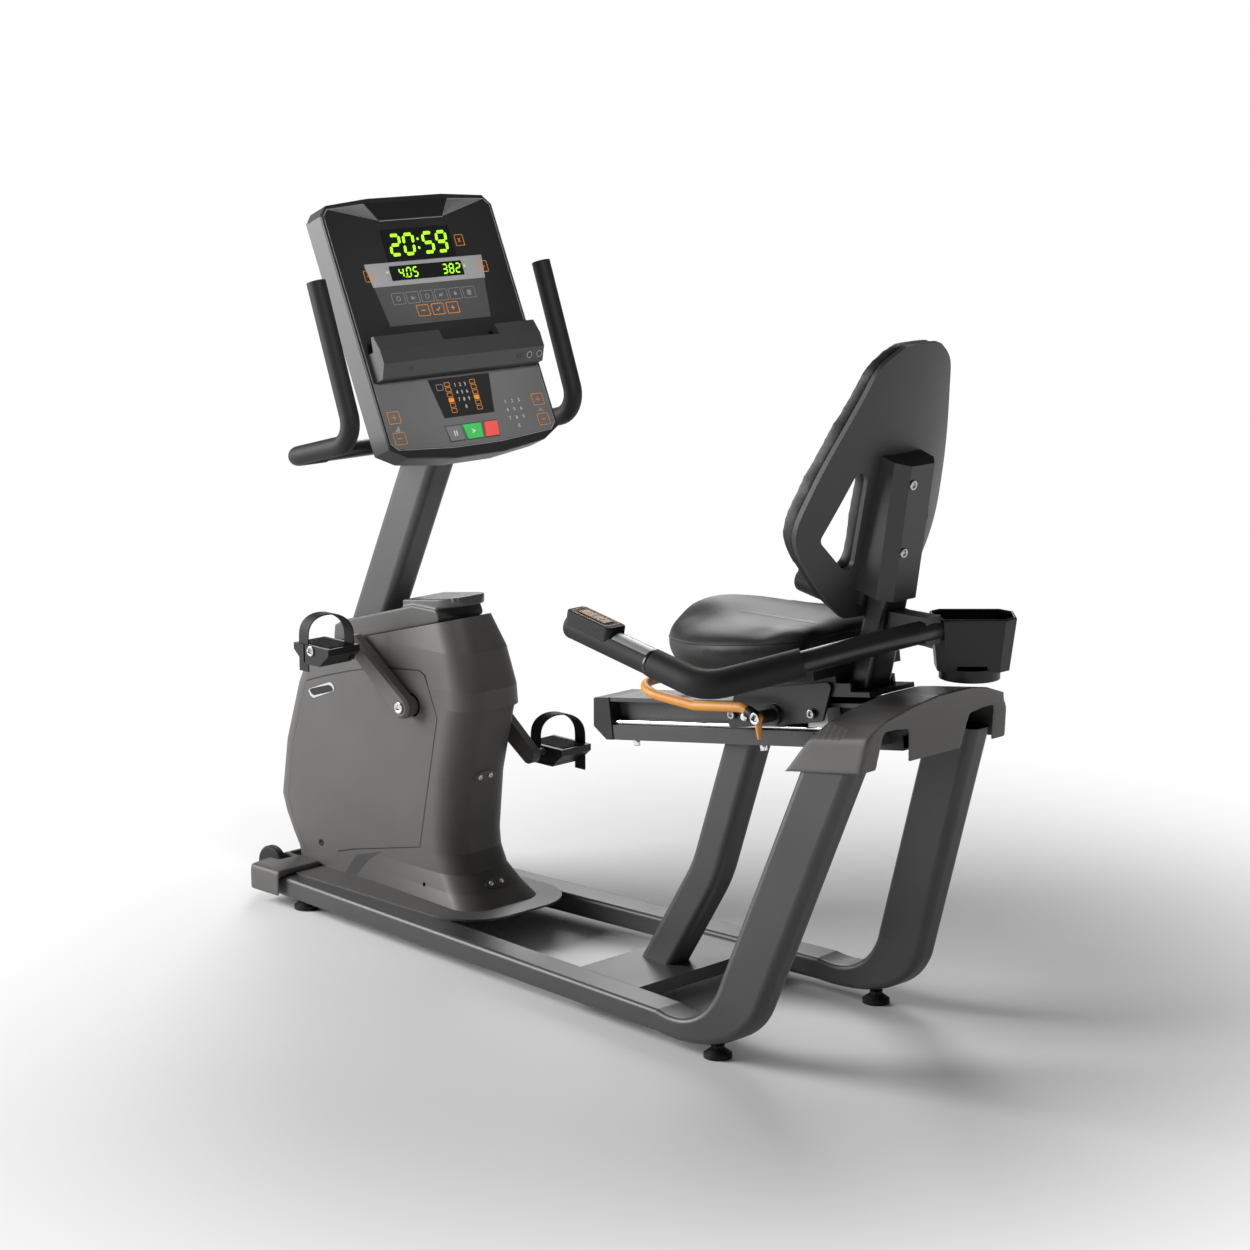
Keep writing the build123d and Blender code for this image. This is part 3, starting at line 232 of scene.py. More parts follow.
# %% Finishes of this bike
frame_paint = finish("frame_paint", (0.044, 0.044, 0.0455), 0.42, grain=0.12, size=1400, shine=0.6)
shroud_plastic = finish("shroud_plastic", (0.088, 0.084, 0.080), 0.50, grain=0.22, size=1100)
cap_plastic = finish("cap_plastic", (0.070, 0.069, 0.068), 0.48, grain=0.2, size=1100)
top_plastic = finish("top_plastic", (0.068, 0.066, 0.064), 0.46, grain=0.22, size=1100)
face_plastic = finish("face_plastic", (0.013, 0.0132, 0.0138), 0.5, grain=0.1, size=1500)
panel_plastic = finish("panel_plastic", (0.150, 0.150, 0.151), 0.50, grain=0.12, size=1500)
black_plastic = finish("black_plastic", (0.010, 0.010, 0.0105), 0.42, grain=0.22, size=1000, shine=0.38)
# The shelf's plastic also colours the painted shade of the skirt scoops further down.
shelf_plastic_and_scoop_shade = finish("shelf_plastic_and_scoop_shade", (0.040, 0.040, 0.041), 0.46, grain=0.18, size=1200)
black_gloss = finish("black_gloss", (0.010, 0.010, 0.011), 0.22, grain=0.05, size=1500)
black_rubber = finish("black_rubber", (0.010, 0.010, 0.010), 0.6, grain=0.4, size=800, cells=True, shine=0.35)
black_paint = finish("black_paint", (0.016, 0.016, 0.017), 0.32, grain=0.12, size=1400, shine=0.6)
seat_hide = finish("seat_hide", (0.011, 0.011, 0.0115), 0.48, grain=0.3, size=620, cells=True, shine=0.44)
shell_plastic = finish("shell_plastic", (0.034, 0.034, 0.034), 0.44, grain=0.3, size=900)
bright_chrome = finish("bright_chrome", (0.80, 0.80, 0.81), 0.12, grain=0.03, size=500, metal=1.0, drift=0.03)
plain_steel = finish("plain_steel", (0.50, 0.50, 0.51), 0.30, grain=0.08, size=900, metal=1.0)
arm_grey = finish("arm_grey", (0.115, 0.106, 0.098), 0.42, grain=0.18, size=1200, metal=0.25)
dark_iron = finish("dark_iron", (0.08, 0.08, 0.08), 0.55, grain=0.3, size=500, metal=0.7)
pale_glide = finish("pale_glide", (0.60, 0.60, 0.57), 0.5, grain=0.1)
lever_orange = finish("lever_orange", (0.72, 0.30, 0.045), 0.48, grain=0.25, size=900)
key_orange = finish("key_orange", (0.86, 0.33, 0.055), 0.5, grain=0.05)
key_grey = finish("key_grey", (0.20, 0.20, 0.205), 0.45, grain=0.1)
key_green = finish("key_green", (0.075, 0.60, 0.13), 0.42, grain=0.1)
key_red = finish("key_red", (1.0, 0.12, 0.10), 0.42, grain=0.1)
print_white = finish("print_white", (0.72, 0.72, 0.72), 0.5, grain=0.04, drift=0.03)
print_grey = finish("print_grey", (0.33, 0.33, 0.335), 0.5, grain=0.04, drift=0.03)
silver_band = finish("silver_band", (0.52, 0.52, 0.53), 0.36, grain=0.06, metal=0.4)
lit_green = glowing("lit_green", (0.40, 0.95, 0.03), 0.75)

# %% Which solid wears which finish
dress = {
    frame_paint: "rail_left rail_right leg_left leg_right front_beam cross_beam seat_post mast "
                 "seat_rail drive_bracket",
    shroud_plastic: "shroud_left shroud_right side_panel_left side_panel_right base_plate "
                    "front_cover rear_cover",
    cap_plastic: "console_housing",
    top_plastic: "top_cap",
    face_plastic: "console_face",
    shell_plastic: "back_shell bracket_cover",
    shelf_plastic_and_scoop_shade: "device_shelf",
    black_plastic: "seat_pan cup_holder pedal_left pedal_right rail_end_cap "
                   "display_board thumb_key_left thumb_key_right",
    black_rubber: "console_grips seat_grip_left seat_grip_right levelling_feet transport_wheel_left "
                  "transport_wheel_right drive_belt strap_left strap_right",
    black_paint: "console_handle seat_handlebar back_post seat_carriage",
    seat_hide: "seat_cushion back_pad",
    bright_chrome: "guide_rods",
    plain_steel: "crank_axle bearings lock_pin",
    arm_grey: "crank_left crank_right drive_pulley brake_unit",
    dark_iron: "flywheel",
    pale_glide: "glide_blocks",
    lever_orange: "release_lever",
    key_grey: "pause_key",
    key_green: "start_key",
    key_red: "stop_key",
}
for coat, names in dress.items():
    for node in names.split():
        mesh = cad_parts[node].data
        mesh.materials.clear()
        mesh.materials.append(coat)
print("dressed", sum(len(names.split()) for names in dress.values()))

# %% [markdown]
# Much of the trim is flat and lies on a leaning board or on the casing's side. It is easiest to
# draw it flat and to lay it down afterwards. A plane here is a matrix: an origin in metres, one
# axis across (u) and one up (v). The place is then applied, so that every piece ends at the origin.


# %% Planes, and laying pieces on them
def plane_at(spot, across, up):
    """The matrix of a plane with its origin at spot (m), its u axis across and its v axis up."""
    u = Vector(across).normalized()
    v = Vector(up).normalized()
    return Matrix.Translation(spot) @ Matrix((u, v, u.cross(v))).transposed().to_4x4()


def pick(piece):
    """Selects one piece alone and makes it the active one."""
    rest()
    piece.select_set(True)
    bpy.context.view_layer.objects.active = piece


def laid(piece, plane):
    """Gives a piece the place and turn of a plane and applies them to its mesh."""
    piece.matrix_world = plane
    pick(piece)
    bpy.ops.object.transform_apply(location=True, rotation=True, scale=True)
    return piece


def joined(name, parts, coat, body):
    """Joins parts into one named piece with one finish that rides on a body."""
    rest()
    for part in parts:
        part.select_set(True)
    bpy.context.view_layer.objects.active = parts[0]
    if len(parts) > 1:
        bpy.ops.object.join()
    piece = bpy.context.object
    piece.name = name
    piece.data.name = name
    piece.data.materials.clear()
    piece.data.materials.append(coat)
    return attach(piece, body)


lean = radians(24)
board = plane_at((-0.4027, 0, 1.121), (0, 1, 0), (-sin(lean), 0, cos(lean)))
print("board", [round(v, 3) for v in board.translation])

# %% [markdown]
# The console's print is drawn in millimetres on the board. Each colour of ink is one filled curve,
# given a hair of thickness and turned into a mesh, as a screen print is laid down one colour at a
# time. Real shapes stay sharp however close the camera comes.


# %% Recipes for flat shapes
def flat_piece(name, outlines, low, high, coat, body="frame", plane=board):
    """Fills closed outlines (mm), gives them thickness from low to high and lays them on a plane."""
    curve = bpy.data.curves.new(name, "CURVE")
    curve.dimensions = "2D"
    curve.fill_mode = "BOTH"
    curve.extrude = (high - low) / 2000
    for points in outlines:
        line = curve.splines.new("POLY")
        line.points.add(len(points) - 1)
        for dot, (u, v) in zip(line.points, points):
            dot.co = (u / 1000, v / 1000, 0, 1)
        line.use_cyclic_u = True
    piece = bpy.data.objects.new(name, curve)
    scene.collection.objects.link(piece)
    pick(piece)
    bpy.ops.object.convert(target="MESH")
    laid(bpy.context.object, plane @ Matrix.Translation((0, 0, (low + high) / 2000)))
    return joined(name, [bpy.context.object], coat, body)


def rounded(u0, v0, u1, v1, r, steps=5):
    """A rectangle with rounded corners."""
    dots = []
    corners = ((u1 - r, v1 - r, 0), (u0 + r, v1 - r, 90), (u0 + r, v0 + r, 180), (u1 - r, v0 + r, 270))
    for cu, cv, start in corners:
        for step in range(steps + 1):
            a = radians(start + 90 * step / steps)
            dots.append((cu + r * cos(a), cv + r * sin(a)))
    return dots


def ring_of(u, v, wide, tall, line, r=2.0):
    """A key drawn as a thin frame: an outer and an inner outline."""
    a, b = wide / 2, tall / 2
    outer = rounded(u - a, v - b, u + a, v + b, r)
    inner = rounded(u - a + line, v - b + line, u + a - line, v + b - line, r * 0.6)
    return [outer, inner]


def ribbon(points, wide):
    """A line of one width as a single closed outline."""
    left = []
    right = []
    for k, (u, v) in enumerate(points):
        u0, v0 = points[max(k - 1, 0)]
        u1, v1 = points[min(k + 1, len(points) - 1)]
        run = ((u1 - u0) ** 2 + (v1 - v0) ** 2) ** 0.5
        nu, nv = -(v1 - v0) / run * wide / 2, (u1 - u0) / run * wide / 2
        left.append((u + nu, v + nv))
        right.append((u - nu, v - nv))
    return left + right[::-1]


def stroke(points, wide):
    """A thin line of straight runs, each run a small bar."""
    return [ribbon(run, wide) for run in zip(points, points[1:])]


def minus(u, v, size, wide):
    """A level bar that reaches size to each side."""
    return stroke([(u - size, v), (u + size, v)], wide)


def plus(u, v, size, wide):
    """A plus sign that reaches size to each side."""
    return minus(u, v, size, wide) + stroke([(u, v - size), (u, v + size)], wide)


def circle(u, v, r, steps=14):
    """A round dot."""
    return [(u + r * cos(2 * pi * k / steps), v + r * sin(2 * pi * k / steps)) for k in range(steps)]


# %% [markdown]
# The display shows numbers built from seven lit bars, leaning a little to the right. Spelling the
# bars of each figure as letters keeps the clock and the two read-outs in one short function. Each
# bar is a long hexagon that stops short of its neighbours, as the segments of a real display do.

# %% Lit figures
bars_of = {"0": "abcdef", "2": "abged", "3": "abgcd", "4": "fgbc", "5": "afgcd", "8": "abcdefg",
           "9": "abcdfg"}
bar_gap = 0.62
bar_tip = 0.3
slant = 0.14


def figure(digit, u, v, wide, tall, thick):
    """The lit bars of one figure; u, v is its lower left corner."""
    half = tall / 2
    spots = {"a": (0, tall, wide, tall), "b": (wide, half, wide, tall), "c": (wide, 0, wide, half),
             "d": (0, 0, wide, 0), "e": (0, 0, 0, half), "f": (0, half, 0, tall), "g": (0, half, wide, half)}
    cut = thick * bar_gap
    tip = thick * bar_tip
    side = thick / 2
    made = []
    for bar in bars_of[digit]:
        u0, v0, u1, v1 = spots[bar]
        if u1 > u0:
            p, q, s, t = u0 + cut, v0, u1 - cut, v1
            dots = [(p - tip, q), (p, q + side), (s, t + side), (s + tip, t), (s, t - side), (p, q - side)]
        else:
            p, q, s, t = u0, v0 + cut, u1, v1 - cut
            dots = [(p, q - tip), (p + side, q), (s + side, t), (s, t + tip), (s - side, t), (p - side, q)]
        made.append([(u + x + y * slant, v + y) for x, y in dots])
    return made


clock = []
for digit, u in (("2", -70), ("0", -37), ("5", 10), ("9", 43)):
    clock += figure(digit, u, 152, wide=22, tall=37, thick=6.2)
clock += [circle(-1.5, 162, 2.6), circle(0.5, 179, 2.6)]
small = []
for digit, u in (("4", -68), ("0", -50), ("5", -34), ("3", 38), ("8", 54), ("2", 70)):
    small += figure(digit, u, 108.5, wide=9.5, tall=17, thick=2.6)
small.append(circle(-53.5, 108.5, 1.3))
flat_piece("clock_figures", clock, 1.2, 1.5, lit_green)
flat_piece("read_out_figures", small, 2.2, 2.5, lit_green)
print("bars", len(clock), len(small))

# %% [markdown]
# Around the figures lie the printed plates: the dark windows, the silver band, the striped field
# under it, the pale border line and the lighter lower board. They step up by half a millimetre
# each, so that every layer hides the one under it without flicker.

# %% Windows, bands and borders
border_wide = 1.2
border = [(-202, 236), (-190, 248), (-102, 253), (-78, 219), (78, 219), (102, 253), (190, 248), (202, 236),
          (202, -196), (188, -209), (60, -218), (-60, -218), (-188, -209), (-202, -196)]
border_inside = []
for u, v in border:
    inward = border_wide if v > 0 else -border_wide
    border_inside.append((u * (1 - border_wide / max(abs(u), 60)), v - inward))
flat_piece("border_line", [border, border_inside], 0.0, 0.35, print_grey)
flat_piece("head_plate", [[(-97, 254), (-75, 222), (75, 222), (97, 254)]], 0.0, 0.8, black_plastic)
flat_piece("clock_window", [rounded(-83, 140, 83, 201, 3)], 0.0, 1.2, black_gloss)
flat_piece("silver_frame", [[(-143, 138.5), (143, 138.5), (136, 94), (-136, 94)]], 0.0, 1.4, silver_band)
flat_piece("read_out_window", [rounded(-88, 103, 88, 131, 2)], 1.4, 2.2, black_gloss)

field_top = 93
field_half = 134
field_taper = 0.16
stripe_pitch = 1.62
stripe_wide = 0.75
stripes = []
for step in range(46):
    drop = step * stripe_pitch
    top = field_top - drop
    half = field_half - drop * field_taper
    stripes.append([(-half, top), (half, top), (half, top - stripe_wide), (-half, top - stripe_wide)])
flat_piece("striped_field", stripes, 0.0, 0.3, panel_plastic)

lower = [(-200, -83), (200, -83), (200, -195), (187, -207), (60, -216), (-60, -216), (-187, -207),
         (-200, -195)]
openings = [[(-67.5, -176.5), (-28.5, -176.5), (-26.5, -207.5), (-63.5, -207.5)],
            [(-26, -176.5), (21.5, -176.5), (18.5, -207.5), (-21.5, -207.5)],
            [(26.5, -176.5), (62.5, -176.5), (58.5, -207.5), (21.5, -207.5)]]
flat_piece("lower_board", [lower] + openings, 0.0, 0.6, panel_plastic)
flat_piece("centre_plate", [[(-75, -88), (75, -88), (61, -162), (-61, -162)]], 0.6, 1.3, face_plastic)
print("stripes", len(stripes), "openings", len(openings))

# %% [markdown]
# The touch keys are thin printed frames with a sign inside. Orange ones change a level or the
# view, grey ones choose a programme. A frame is an outer and an inner outline in one curve, which
# fills only the band between them.

# %% Printed keys
key_line = 1.1
sign_line = 1.65
orange = ring_of(100, 170, 21, 22, key_line)
for u in (-139, 139):
    orange += ring_of(u, 116, 22, 22, key_line)
for u in (-36, 0, 36):
    orange += ring_of(u, 43, 29, 22, key_line)
for v in (-149, -188):
    for u in (-178, 175):
        orange += ring_of(u, v, 28, 23, 1.2)
for u, v, size in ((-139, 116, 4.5), (139, 116, 4.5), (36, 43, 4.5), (-178, -149, 5), (175, -149, 5)):
    orange += plus(u, v, size, sign_line)
for u, v in ((-36, 43), (-178, -188), (175, -188)):
    orange += minus(u, v, 5, sign_line)
orange += stroke([(-4, 43), (-1, 39.5), (5, 47)], 1.6)
orange += stroke([(97, 174), (103, 166)], 1.5) + stroke([(97, 166), (103, 174)], 1.5)
flat_piece("orange_marks", orange, 1.4, 1.75, key_orange)

lit_row = -130
columns = []
for u in (-33, 29):
    for v in range(-100, -151, -10):
        if v == lit_row:
            columns.append(rounded(u - 6.5, v - 4.1, u + 6.5, v + 4.1, 1.2))
        else:
            columns += ring_of(u, v, 13, 8.2, 0.9, 1.2)
flat_piece("level_columns", columns, 1.3, 1.6, key_orange)

grey_line = 0.9
sketch_line = 1.1
grey = []
for k in range(6):
    grey += ring_of(-86 + k * 34.4, 69, 30, 22, grey_line)
for u in (-86, -17):
    grey += [circle(u, 69, 5), circle(u, 69, 3.6)]
grey += stroke([(-57, 66), (-53, 72), (-49, 66), (-46, 70)], sketch_line)
grey += stroke([(11, 66), (15, 72), (18, 67), (22, 73)], sketch_line)
grey += [circle(51.6, 69, 3.4)]
grey += stroke([(82, 73), (90, 73), (90, 64), (82, 64), (82, 73)], sketch_line)
grey += ring_of(-52, -104, 16, 12, grey_line)
for v in (127, 113, 105):
    grey += [circle(-94, v, 1.7), circle(94, v, 1.7)]
flat_piece("grey_marks", grey, 1.4, 1.7, print_grey)
flat_piece("lit_dots", [circle(-94, 120, 1.7), circle(94, 120, 1.7)], 1.4, 1.75, lit_green)
signs = [[(-184, -175), (-172, -175), (-172, -164)]] + stroke([(168, -172), (175, -166), (182, -172)], 1.4)
flat_piece("key_signs", signs, 0.6, 0.95, print_grey)
print("outlines", len(orange), len(columns), len(grey))

# %% [markdown]
# Two keypads carry plain numbers, and the two large keys beside the red one carry a sign. Text
# objects give the numbers; they become meshes and are joined into one piece. The signs ride on
# their keys, so they sink with them.


# %% Numbers and signs
def numbers(name, rows, size, low, coat):
    """Plain printed numbers at (text, u, v), joined into one piece; sizes in mm."""
    words = []
    for text, u, v in rows:
        rest()
        bpy.ops.object.text_add()
        word = bpy.context.object
        word.data.body = text
        word.data.size = size / 1000
        word.data.align_x = "CENTER"
        word.data.align_y = "CENTER"
        word.data.extrude = 0.00015
        word.data.resolution_u = 3
        bpy.ops.object.convert(target="MESH")
        spot = Matrix.Translation((u / 1000, v / 1000, low / 1000))
        words.append(laid(bpy.context.object, board @ spot))
    return joined(name, words, coat, "frame")


rows = []
for k, text in enumerate("123456789 0 "):
    if text != " ":
        rows.append((text, (-14, -2, 10)[k % 3], -103 - 14 * (k // 3)))
        rows.append((text, (94, 111, 128)[k % 3], -146 - 16 * (k // 3)))
numbers("keypad_numbers", rows, 9.5, 1.45, print_white)
pause_bars = [rounded(-50, -197, -47.5, -187, 0.6), rounded(-44.5, -197, -42, -187, 0.6)]
flat_piece("pause_sign", pause_bars, 1.8, 2.1, print_white, body="pause_key")
arrow = [[(-7, -187), (4, -192), (-7, -197), (-4, -192)]]
flat_piece("start_sign", arrow, 1.8, 2.1, print_white, body="start_key")
print("numbers", len(rows))

# %% [markdown]
# Fasteners come next. One recipe makes a socket bolt: a cylinder with a softened rim, from which
# a hexagonal key is cut. It is made standing up at the origin, then turned to face its own way.


# %% Recipes for small hard pieces
def placed(piece, spot, aim):
    """Turns a piece made along +Z towards aim, puts it at spot (mm) and applies the place."""
    turn = Vector(aim).to_track_quat("Z", "Y").to_matrix().to_4x4()
    return laid(piece, Matrix.Translation(Vector(spot) / 1000) @ turn)


def stub(r, high, sides=36, soft=0.2):
    """A short cylinder that stands on the origin, its rims softened; sizes in mm."""
    rest()
    bpy.ops.mesh.primitive_cylinder_add(
        vertices=sides, radius=r / 1000, depth=high / 1000, location=(0, 0, high / 2000))
    bpy.ops.object.transform_apply(location=True)
    piece = bpy.context.object
    if soft:
        bpy.ops.object.modifier_add(type="BEVEL")
        piece.modifiers["Bevel"].width = min(r, high) * soft / 1000
        piece.modifiers["Bevel"].segments = 3
        bpy.ops.object.modifier_apply(modifier="Bevel")
        bpy.ops.object.shade_smooth_by_angle(angle=radians(35))
    return piece


def carved(piece, cutter):
    """Cuts one piece out of another and takes the cutter away."""
    pick(piece)
    bpy.ops.object.modifier_add(type="BOOLEAN")
    piece.modifiers["Boolean"].object = cutter
    piece.modifiers["Boolean"].operation = "DIFFERENCE"
    bpy.ops.object.modifier_apply(modifier="Boolean")
    bpy.data.objects.remove(cutter)
    return piece


def socket_bolt(spot, aim, r, high):
    """A bolt head with a hexagonal socket half as wide as the head."""
    key = stub(r * 0.5, high, sides=6, soft=0)
    placed(key, (0, 0, high * 0.45), (0, 0, 1))
    return placed(carved(stub(r, high), key), spot, aim)


def rod(start, end, r, soft=0.2):
    """A round bar from start to end (mm)."""
    aim = Vector(end) - Vector(start)
    return placed(stub(r, aim.length, soft=soft), start, aim)


# %% [markdown]
# A bright bolt holds each crank on its axle, and small black screws hold the casing's sides. On
# the casing's rear seam sit two long plates with a pair of screws each; a plate is a stub that is
# stretched before it is laid on the slope.

# %% Bolts of the drive and the casing
both_sides = (-1, 1)
crank_x = -418
crank_z = 430
crank_bolts = [socket_bolt((crank_x, s * 108.5, crank_z), (0, s, 0), 10.5, 4) for s in both_sides]
joined("crank_bolts", crank_bolts, bright_chrome, "crank")
side_screws = []
for x, z in ((-384, 92), (-690, 112)):
    side_screws += [socket_bolt((x, s * 77.6, z), (0, s, 0), 6.5, 1.6) for s in both_sides]
joined("side_screws", side_screws, black_plastic, "frame")

level = Vector((0, 1, 0))
seam_plates = []
seam_screws = []
for (x, z), aim in (((-305.6, 301), (1, 0, -0.2)), ((-277, 100), (1, 0, 0.95))):
    plate = stub(11, 2.4, soft=0.25)
    plate.scale = (2.5, 1, 1)
    bpy.ops.object.transform_apply(scale=True)
    up = Vector(aim).normalized()
    seam_plates.append(laid(plate, plane_at((x / 1000, 0, z / 1000), level, up.cross(level))))
    for s in both_sides:
        spot = Vector((x, s * 13, z)) + up * 1.8
        seam_screws.append(socket_bolt(spot, aim, 5, 2.4))
joined("seam_plates", seam_plates, arm_grey, "frame")
joined("seam_screws", seam_screws, bright_chrome, "frame")
print("screws", len(crank_bolts) + len(side_screws) + len(seam_screws))

# %% [markdown]
# Each side of the casing carries a small plate with a chrome rim and the seam of its inset panel.
# In the skirt, a flat dark patch of painted shade stands for the shadow in a shallow scoop. All
# three are flat drawings in x and z, laid on the side; the right side is the same drawing turned
# round.

# %% Plate, seam and painted scoop shade on each side
casing_half = 0.078
left_side = plane_at((0, -casing_half, 0), (1, 0, 0), (0, 0, 1))
right_side = plane_at((0, casing_half, 0), (-1, 0, 0), (0, 0, 1))
casing_sides = (("left", left_side, 1), ("right", right_side, -1))


def turned(points, sign):
    """The outline as one side sees it."""
    return [(sign * x, z) for x, z in points]


badge = [(-718, 409), (-713, 414), (-654, 436), (-645, 433), (-640, 426), (-643, 420), (-703, 397),
         (-712, 400)]
badge_x = -679
badge_z = 416.5
field = [(badge_x + (x - badge_x) * 0.9, badge_z + (z - badge_z) * 0.72) for x, z in badge]
for name, plane, sign in casing_sides:
    flat_piece("badge_rim_" + name, [turned(badge, sign)], -0.2, 1.2, bright_chrome, plane=plane)
    flat_piece("badge_field_" + name, [turned(field, sign)], 1.0, 1.5, black_gloss, plane=plane)
seam = [(-640, 104), (-596, 117), (-401, 160), (-348, 417), (-381, 492), (-396, 499), (-496, 490),
        (-596, 467), (-676, 444), (-723, 428)]
for name, plane, sign in casing_sides:
    line = ribbon(turned(seam, sign), 2.2)
    flat_piece("panel_seam_" + name, [line], -0.3, 0.25, black_plastic, plane=plane)
# The scoop is not modelled as a hollow: a dark patch of painted shade lies flat on the skirt.
scoop_shade = [(-618, 67), (-585, 108), (-508, 130), (-551, 104), (-587, 67)]
for name, plane, sign in casing_sides:
    flat_piece("skirt_shade_" + name, [turned(scoop_shade, sign)], -0.3, 0.2, shelf_plastic_and_scoop_shade, plane=plane)
print("side outlines", len(badge), len(seam), len(scoop_shade))

# %% [markdown]
# A thin lid closes the casing's top beside the cap at the mast's foot. Its plane climbs with the
# casing's upper edge. Half of its outline is drawn and mirrored, so both sides agree.

# %% Lid of the casing
roof_x = -700
climb = Vector((370, 0, 100)).normalized()
roof = plane_at((roof_x / 1000, 0, 0.500), climb, level)
half_lid = [(-727, 34), (-718, 58), (-692, 73.5), (-530, 74.5), (-405, 66), (-352, 50), (-332, 16)]
half_lid = [((x - roof_x) / climb.x, y) for x, y in half_lid]
lid = half_lid + [(u, -y) for u, y in reversed(half_lid)]
flat_piece("shroud_lid", [lid], -4.5, -1.5, top_plastic, plane=roof)
print("lid", len(lid))

# %% [markdown]
# The pedals carry rows of ridges that hold the shoe, and a round cap closes the end of each
# spindle. The ridges repeat along the tread, so one softened ridge is copied by an array.

# %% Pedal treads and caps
named_sides = (("left", -1), ("right", 1))
crank_arm = 170
crank_turn = radians(36.12)
pedal_y = 166
ridge_pitch = 0.006


def pedal_spot(s):
    """Where the spindle of the pedal on side s stands: x and z in mm."""
    return crank_x + s * crank_arm * cos(crank_turn), crank_z - s * crank_arm * sin(crank_turn)


for name, s in named_sides:
    x, z = pedal_spot(s)
    rest()
    bpy.ops.mesh.primitive_cube_add(size=1)
    ridge = bpy.context.object
    ridge.scale = (0.0026, 0.058, 0.003)
    bpy.ops.object.transform_apply(scale=True)
    bpy.ops.object.modifier_add(type="BEVEL")
    ridge.modifiers["Bevel"].width = 0.0007
    bpy.ops.object.modifier_apply(modifier="Bevel")
    bpy.ops.object.modifier_add(type="ARRAY")
    ridge.modifiers["Array"].count = 15
    ridge.modifiers["Array"].use_relative_offset = False
    ridge.modifiers["Array"].use_constant_offset = True
    ridge.modifiers["Array"].constant_offset_displace = (ridge_pitch, 0, 0)
    bpy.ops.object.modifier_apply(modifier="Array")
    laid(ridge, Matrix.Translation(((x - 42) / 1000, s * pedal_y / 1000, (z + 10.2) / 1000)))
    joined("tread_ridges_" + name, [ridge], black_rubber, "pedal_" + name)
    spindle_cap = socket_bolt((x, s * 203.5, z), (0, s, 0), 9.5, 3.5)
    joined("pedal_cap_" + name, [spindle_cap], plain_steel, "pedal_" + name)
    print("pedal", name, round(x, 1), round(z, 1))

# %% [markdown]
# The strap over each pedal is a broad band. Its middle line climbs out of the inner slot, arches
# over the shoe and drops through the outer slot. The band is that line widened fore and aft and
# given a thickness, which keeps it even where a bevelled curve would twist.

# %% Pedal straps
band_half = 13
slot_x = 26
slot_y = 33
arch_foot = 20
arch_rise = 47
arch_steps = 24


def thickened(piece, thick):
    """Gives the active sheet a wall (mm) to both sides and smooth shading."""
    bpy.ops.object.modifier_add(type="SOLIDIFY")
    piece.modifiers["Solidify"].thickness = thick / 1000
    piece.modifiers["Solidify"].offset = 0
    bpy.ops.object.modifier_apply(modifier="Solidify")
    bpy.ops.object.shade_smooth_by_angle(angle=radians(40))
    return piece


def strap(name, s):
    """The band over one pedal as a mesh; s is its side."""
    x, z = pedal_spot(s)
    line = [(x - s * slot_x, s * (pedal_y - slot_y), z - 20)]
    for step in range(arch_steps + 1):
        a = pi * step / arch_steps
        lift = arch_foot + arch_rise * sin(a) ** 0.75
        line.append((x - s * slot_x * cos(a), s * (pedal_y - slot_y * cos(a)), z + lift))
    line.append((x + s * slot_x, s * (pedal_y + slot_y), z - 42))
    dots = []
    for u, v, w in line:
        dots.append(((u - band_half) / 1000, v / 1000, w / 1000))
        dots.append(((u + band_half) / 1000, v / 1000, w / 1000))
    mesh = bpy.data.meshes.new(name)
    mesh.from_pydata(dots, [], [(2 * k, 2 * k + 1, 2 * k + 3, 2 * k + 2) for k in range(len(line) - 1)])
    piece = bpy.data.objects.new(name, mesh)
    scene.collection.objects.link(piece)
    pick(piece)
    return thickened(piece, 2.5)


for name, s in named_sides:
    band = joined("strap_band_" + name, [strap("strap_band_" + name, s)], black_rubber, "pedal_" + name)
    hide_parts("strap_" + name)
print("straps", len(band.data.vertices))

# %% [markdown]
# The covers over the leg tops, the front beam and the mast's foot are mouldings without a sharp
# fold. Each starts as a fine even copy of its solid, and smoothing melts its edges round. A bevel
# would need clean edges, which the triangles of a solid don't have.


# %% Moulded covers
def even_copy(node, name, merge, grain):
    """A copy of a node's mesh, cut into even small squares; merge and grain in mm."""
    piece = bpy.data.objects.new(name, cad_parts[node].data.copy())
    scene.collection.objects.link(piece)
    pick(piece)
    bpy.ops.object.mode_set(mode="EDIT")
    bpy.ops.mesh.select_all(action="SELECT")
    bpy.ops.mesh.remove_doubles(threshold=merge / 1000)
    bpy.ops.object.mode_set(mode="OBJECT")
    piece.data.remesh_voxel_size = grain / 1000
    bpy.ops.object.voxel_remesh()
    return piece


def smoothed(piece, rounds, group=""):
    """Smooths the active piece, or one group of its points, over some rounds."""
    bpy.ops.object.modifier_add(type="SMOOTH")
    piece.modifiers["Smooth"].factor = 0.5
    piece.modifiers["Smooth"].iterations = rounds
    piece.modifiers["Smooth"].vertex_group = group
    bpy.ops.object.modifier_apply(modifier="Smooth")


def softened(node, name, grain, rounds, coat):
    """A copy of a cover with its folds rounded, which stands for the node; grain in mm."""
    piece = even_copy(node, name, 0.1, grain)
    smoothed(piece, rounds)
    bpy.ops.object.shade_smooth()
    piece = joined(name, [piece], coat, "frame")
    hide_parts(node)
    return piece


hood = softened("rear_cover", "rear_hood", 2.0, 70, shroud_plastic)
nose = softened("front_cover", "front_hood", 1.8, 40, shroud_plastic)
foot = softened("top_cap", "mast_cap", 2.0, 16, top_plastic)
print("covers", len(hood.data.polygons), len(nose.data.polygons), len(foot.data.polygons))

# %% [markdown]
# The carriage under the seat is held by four large bolts, and the orange lever turns in black
# sleeves with a bright disc at each end. Round studs hang under the rail. All are bolts or rods
# from the recipes above, and each group is joined into one piece.

